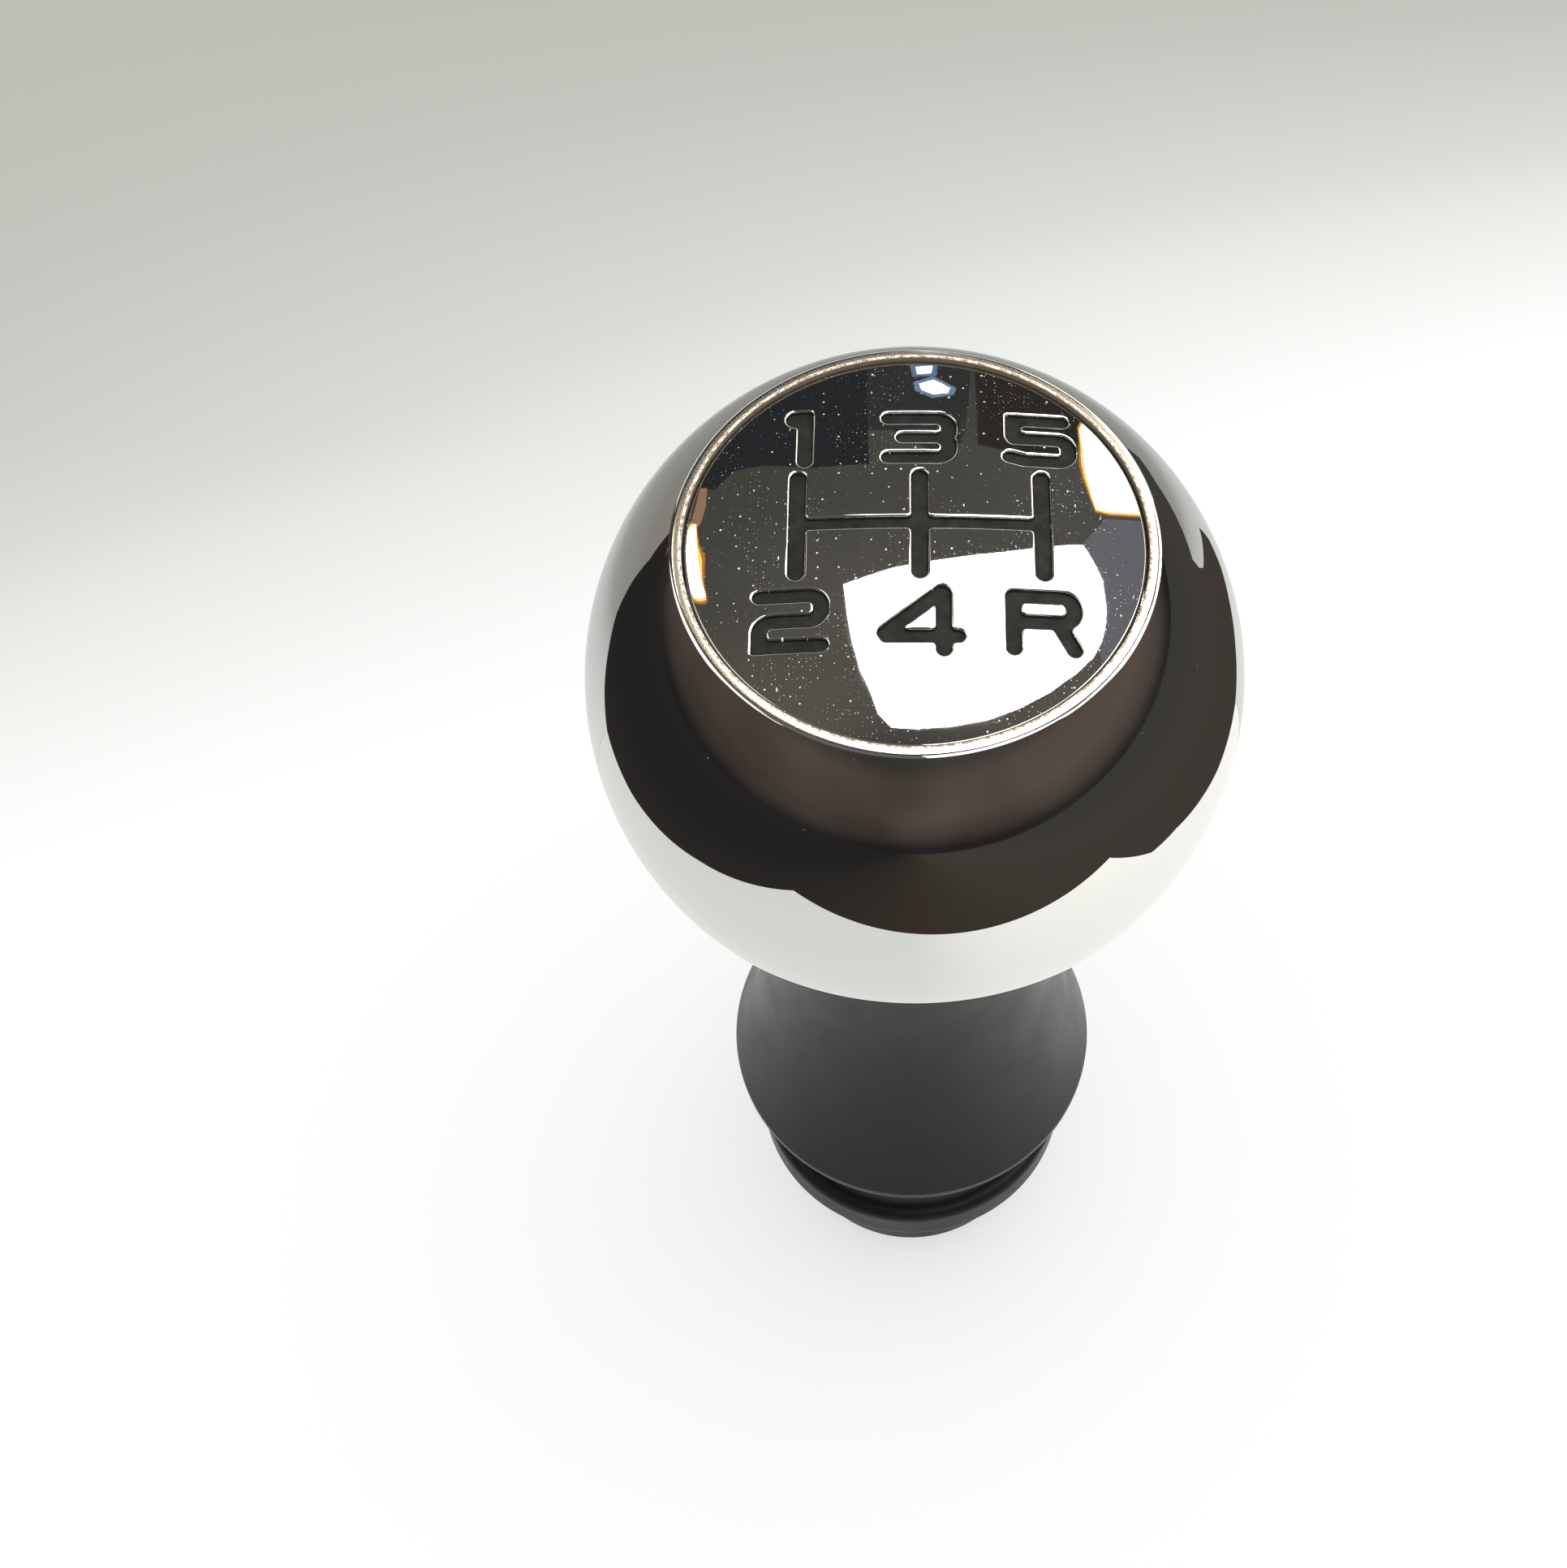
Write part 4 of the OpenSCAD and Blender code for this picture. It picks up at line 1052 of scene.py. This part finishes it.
def build_floor(colours):
    """Pale floor with painted shade: whiter in front and to the right, greyer behind and to the left; far
    back the slant fades.

    Part of its light is its own, so shadows on it stay faint.
    """
    own_light, reflected_share, half = 0.52, 0.50, 2.0
    # The slant paints shade on the floor's left side, greyer than its right.
    slant_ends, slants = (0.095, 0.185), (-0.42, -0.06)
    f = Finish("paper_floor", (1, 1, 1), 0.0, 0.9)
    x, y, _ = f.split()
    slant = f.range(y, *slant_ends, *slants)
    near, far = np.array(colours.floor_near), np.array(colours.floor_far)
    stops = [(at, near + (far - near) * share) for at, share in FLOOR_SHADE_SHARES]
    tone = f.ramp(f.math("MULTIPLY_ADD", x, slant, y), stops)
    f.to({"Base Color": f.mix(reflected_share, tone, (0, 0, 0)), "Emission Color": tone,
          "Emission Strength": own_light, "Specular IOR Level": 0.0})
    corners = [(-half, -half, 0), (half, -half, 0), (half, half, 0), (-half, half, 0)]
    stage_piece("floor", corners, f.material, only_reflected=False)


def build_reflections():
    """What the bright metal sees: the dark desk round the paper, the paper, and the cards."""
    def laid(outline, height):
        return np.column_stack([outline, np.full(len(outline), height)])

    paper, back = np.array(PAPER) * MM, np.array(PAPER_BACK) * MM
    desk_reach, count = 4, len(paper)
    far = paper / np.linalg.norm(paper, axis=1, keepdims=True) * desk_reach
    i = np.arange(count)
    following = (i + 1) % count
    ring = np.stack([i, following, count + following, count + i], axis=1).tolist()
    desk = laid(np.concatenate([paper, far]), DESK_H)
    stage_piece("desk", desk, glow_material("desk_dark", stops=DESK_STOPS), ring)
    stage_piece("paper_front", laid(paper, FRONT_H), glow_material("paper_front_white", stops=PAPER_STOPS))
    grey = glow_material("paper_back_grey", stops=BACK_STOPS, direction=(-0.25, 1))
    stage_piece("paper_back", laid(back, BACK_H), grey)
    for name, colour, strength, borders, corners in CARDS:
        reflected_card(name, np.array(corners) * MM, colour, strength, borders)
    for name, colour, strength, distance, directions in FAR_CARDS:
        az, el = np.radians(np.array(directions, float)).T
        towards = np.stack([np.sin(az) * np.cos(el), np.cos(az) * np.cos(el), np.sin(el)], axis=1)
        reflected_card(name, PLATE_MIDDLE + distance * towards, colour, strength)


def build_world(studio):
    """Soft white room for lighting, pale behind the floor; for reflections a dim and slightly patchy room."""
    world = bpy.data.worlds.new("studio_world")
    bpy.context.scene.world = world
    n = Nodes(world, place="Generated")

    def background(colour, strength):
        return n.add("Background", {"Color": colour, "Strength": strength}).outputs[0]

    def choose(when, other, this):
        return n.add("MixShader", {0: rays[when], 1: other, 2: this}).outputs[0]

    patches = n.range(n.noise(1.6, 1.0), 0.35, 0.65, 0.75, 1.25)
    dim = background(n.ramp(n.split()[2], ROOM_STOPS), patches)
    soft = background((1, 1, 0.99), studio.room_light)
    pale = background((0.80, 0.81, 0.79), 1.0)
    rays = n.add("LightPath").outputs
    seen = choose("Is Glossy Ray", choose("Is Camera Ray", soft, pale), dim)
    n.add("OutputWorld", {"Surface": seen})


def build_lamp(studio):
    """One soft lamp overhead for the knob's faint shadow; the cards show in the metal in its place."""
    light = bpy.data.lights.new("soft_lamp", "AREA")
    light.shape = "DISK"
    light.size = 0.5
    light.energy = studio.key_light
    lamp = bpy.data.objects.new("soft_lamp", light)
    bpy.context.scene.collection.objects.link(lamp)
    lamp.location = (0.25, 0.1, 0.8)
    target = Vector((0, 0, 0.05))
    lamp.rotation_euler = (target - lamp.location).to_track_quat("-Z", "Y").to_euler()
    lamp.visible_glossy = False


def build_camera(studio):
    """Camera of the photograph; the shift frames the knob as the crop does."""
    data = bpy.data.cameras.new("camera")
    data.sensor_width = 36
    data.lens = studio.lens
    data.clip_start = 0.005
    data.shift_x = -0.0761
    data.shift_y = 0.0175
    camera = bpy.data.objects.new("camera", data)
    bpy.context.scene.collection.objects.link(camera)
    camera.location = studio.camera_place
    camera.rotation_euler = (math.pi / 2 - studio.camera_pitch, 0, 0)
    bpy.context.scene.camera = camera


# Operators


class BuildBall(bpy.types.Operator):
    """Build the mirror-bright ball with its lip, recess and shelf"""

    bl_idname = "knob.build_ball"
    bl_label = "Ball"

    def execute(self, context):
        sizes, colours = context.scene.knob_sizes, context.scene.knob_colours
        points, normals, quads = revolve(*ball_profile(sizes))
        fill_mesh("bright_ball_shell", points, normals, quads.tolist(), "ball_shell",
                  ball_finish(colours, sizes))
        return {"FINISHED"}


class BuildPlate(bpy.types.Operator):
    """Build the domed plate with the engraved shift pattern"""

    bl_idname = "knob.build_plate"
    bl_label = "Pattern plate"

    def execute(self, context):
        sizes, colours = context.scene.knob_sizes, context.scene.knob_colours
        points, normals, faces = plate_mesh(sizes)
        fill_mesh("engraved_plate", points, normals, faces, "pattern_plate",
                  plate_finish(colours))
        return {"FINISHED"}


class BuildEnamel(bpy.types.Operator):
    """Build the matt enamel in the engraving"""

    bl_idname = "knob.build_enamel"
    bl_label = "Enamel"

    def execute(self, context):
        sizes, colours = context.scene.knob_sizes, context.scene.knob_colours
        points, normals, faces = enamel_mesh(sizes)
        fill_mesh("engraving_enamel", points, normals, faces, "pattern_enamel",
                  enamel_finish(colours))
        return {"FINISHED"}


class BuildNeck(bpy.types.Operator):
    """Build the flared black neck with its rolled rim"""

    bl_idname = "knob.build_neck"
    bl_label = "Neck"

    def execute(self, context):
        sizes, colours = context.scene.knob_sizes, context.scene.knob_colours
        points, normals, quads = revolve(*neck_profile(sizes))
        fill_mesh("flared_neck", points, normals, quads.tolist(), "neck_skirt",
                  moulded_finish("satin_neck", colours.neck, 0.3, mould_line=True))
        return {"FINISHED"}


class DressInnerParts(bpy.types.Operator):
    """Give the collar, grommet, core, insert, ring nut and tape their finishes"""

    bl_idname = "knob.dress_inner_parts"
    bl_label = "Collar and inner parts"

    def execute(self, context):
        collar = moulded_finish("satin_collar", context.scene.knob_colours.collar, 0.4)
        rubber = moulded_finish("grommet_rubber_matt", (0.028, 0.028, 0.028), 0.75, grain=0.8)
        core = moulded_finish("core_plastic_moulded", (0.05, 0.05, 0.05), 0.5)
        brass = metal_finish("turned_brass", (0.72, 0.55, 0.25), 0.28, 16000)
        steel = metal_finish("plated_steel", (0.45, 0.45, 0.45), 0.34, 12000)
        dress_node("gaiter_collar", collar)
        dress_node("lever_grommet", rubber)
        dress_node("ball_core", core)
        dress_node("lever_insert", brass)
        dress_node("ring_nut", steel)
        dress_node("adhesive_ring", tape_finish())
        return {"FINISHED"}


class BuildStudio(bpy.types.Operator):
    """Set up the floor, cards, lamp, world and camera"""

    bl_idname = "knob.build_studio"
    bl_label = "Studio"

    def execute(self, context):
        scene = context.scene
        build_floor(scene.knob_colours)
        build_reflections()
        build_world(scene.knob_studio)
        build_lamp(scene.knob_studio)
        build_camera(scene.knob_studio)
        scene.view_settings.view_transform = "Standard"
        return {"FINISHED"}


class KnobPanel(bpy.types.Panel):
    """Lists the knob's pieces and the studio"""

    bl_idname = "VIEW3D_PT_knob"
    bl_label = "Gear shift knob"
    bl_space_type = "VIEW_3D"
    bl_region_type = "UI"
    bl_category = "Knob"

    def draw(self, context):
        for operator in OPERATORS:
            self.layout.operator(operator.bl_idname)
        for group in (context.scene.knob_sizes, context.scene.knob_colours, context.scene.knob_studio):
            column = self.layout.column()
            for name in group.__annotations__:
                column.prop(group, name)


OPERATORS = (BuildBall, BuildPlate, BuildEnamel, BuildNeck, DressInnerParts, BuildStudio)
CLASSES = (KnobSizes, KnobColours, KnobStudio, *OPERATORS, KnobPanel)


def register():
    for cls in CLASSES:
        bpy.utils.register_class(cls)
    bpy.types.Scene.knob_sizes = PointerProperty(type=KnobSizes)
    bpy.types.Scene.knob_colours = PointerProperty(type=KnobColours)
    bpy.types.Scene.knob_studio = PointerProperty(type=KnobStudio)


def unregister():
    del bpy.types.Scene.knob_studio
    del bpy.types.Scene.knob_colours
    del bpy.types.Scene.knob_sizes
    for cls in reversed(CLASSES):
        bpy.utils.unregister_class(cls)


def main():
    register()
    bpy.ops.knob.build_ball()
    bpy.ops.knob.build_plate()
    bpy.ops.knob.build_enamel()
    bpy.ops.knob.build_neck()
    bpy.ops.knob.dress_inner_parts()
    bpy.ops.knob.build_studio()


if __name__ == "__main__":
    main()
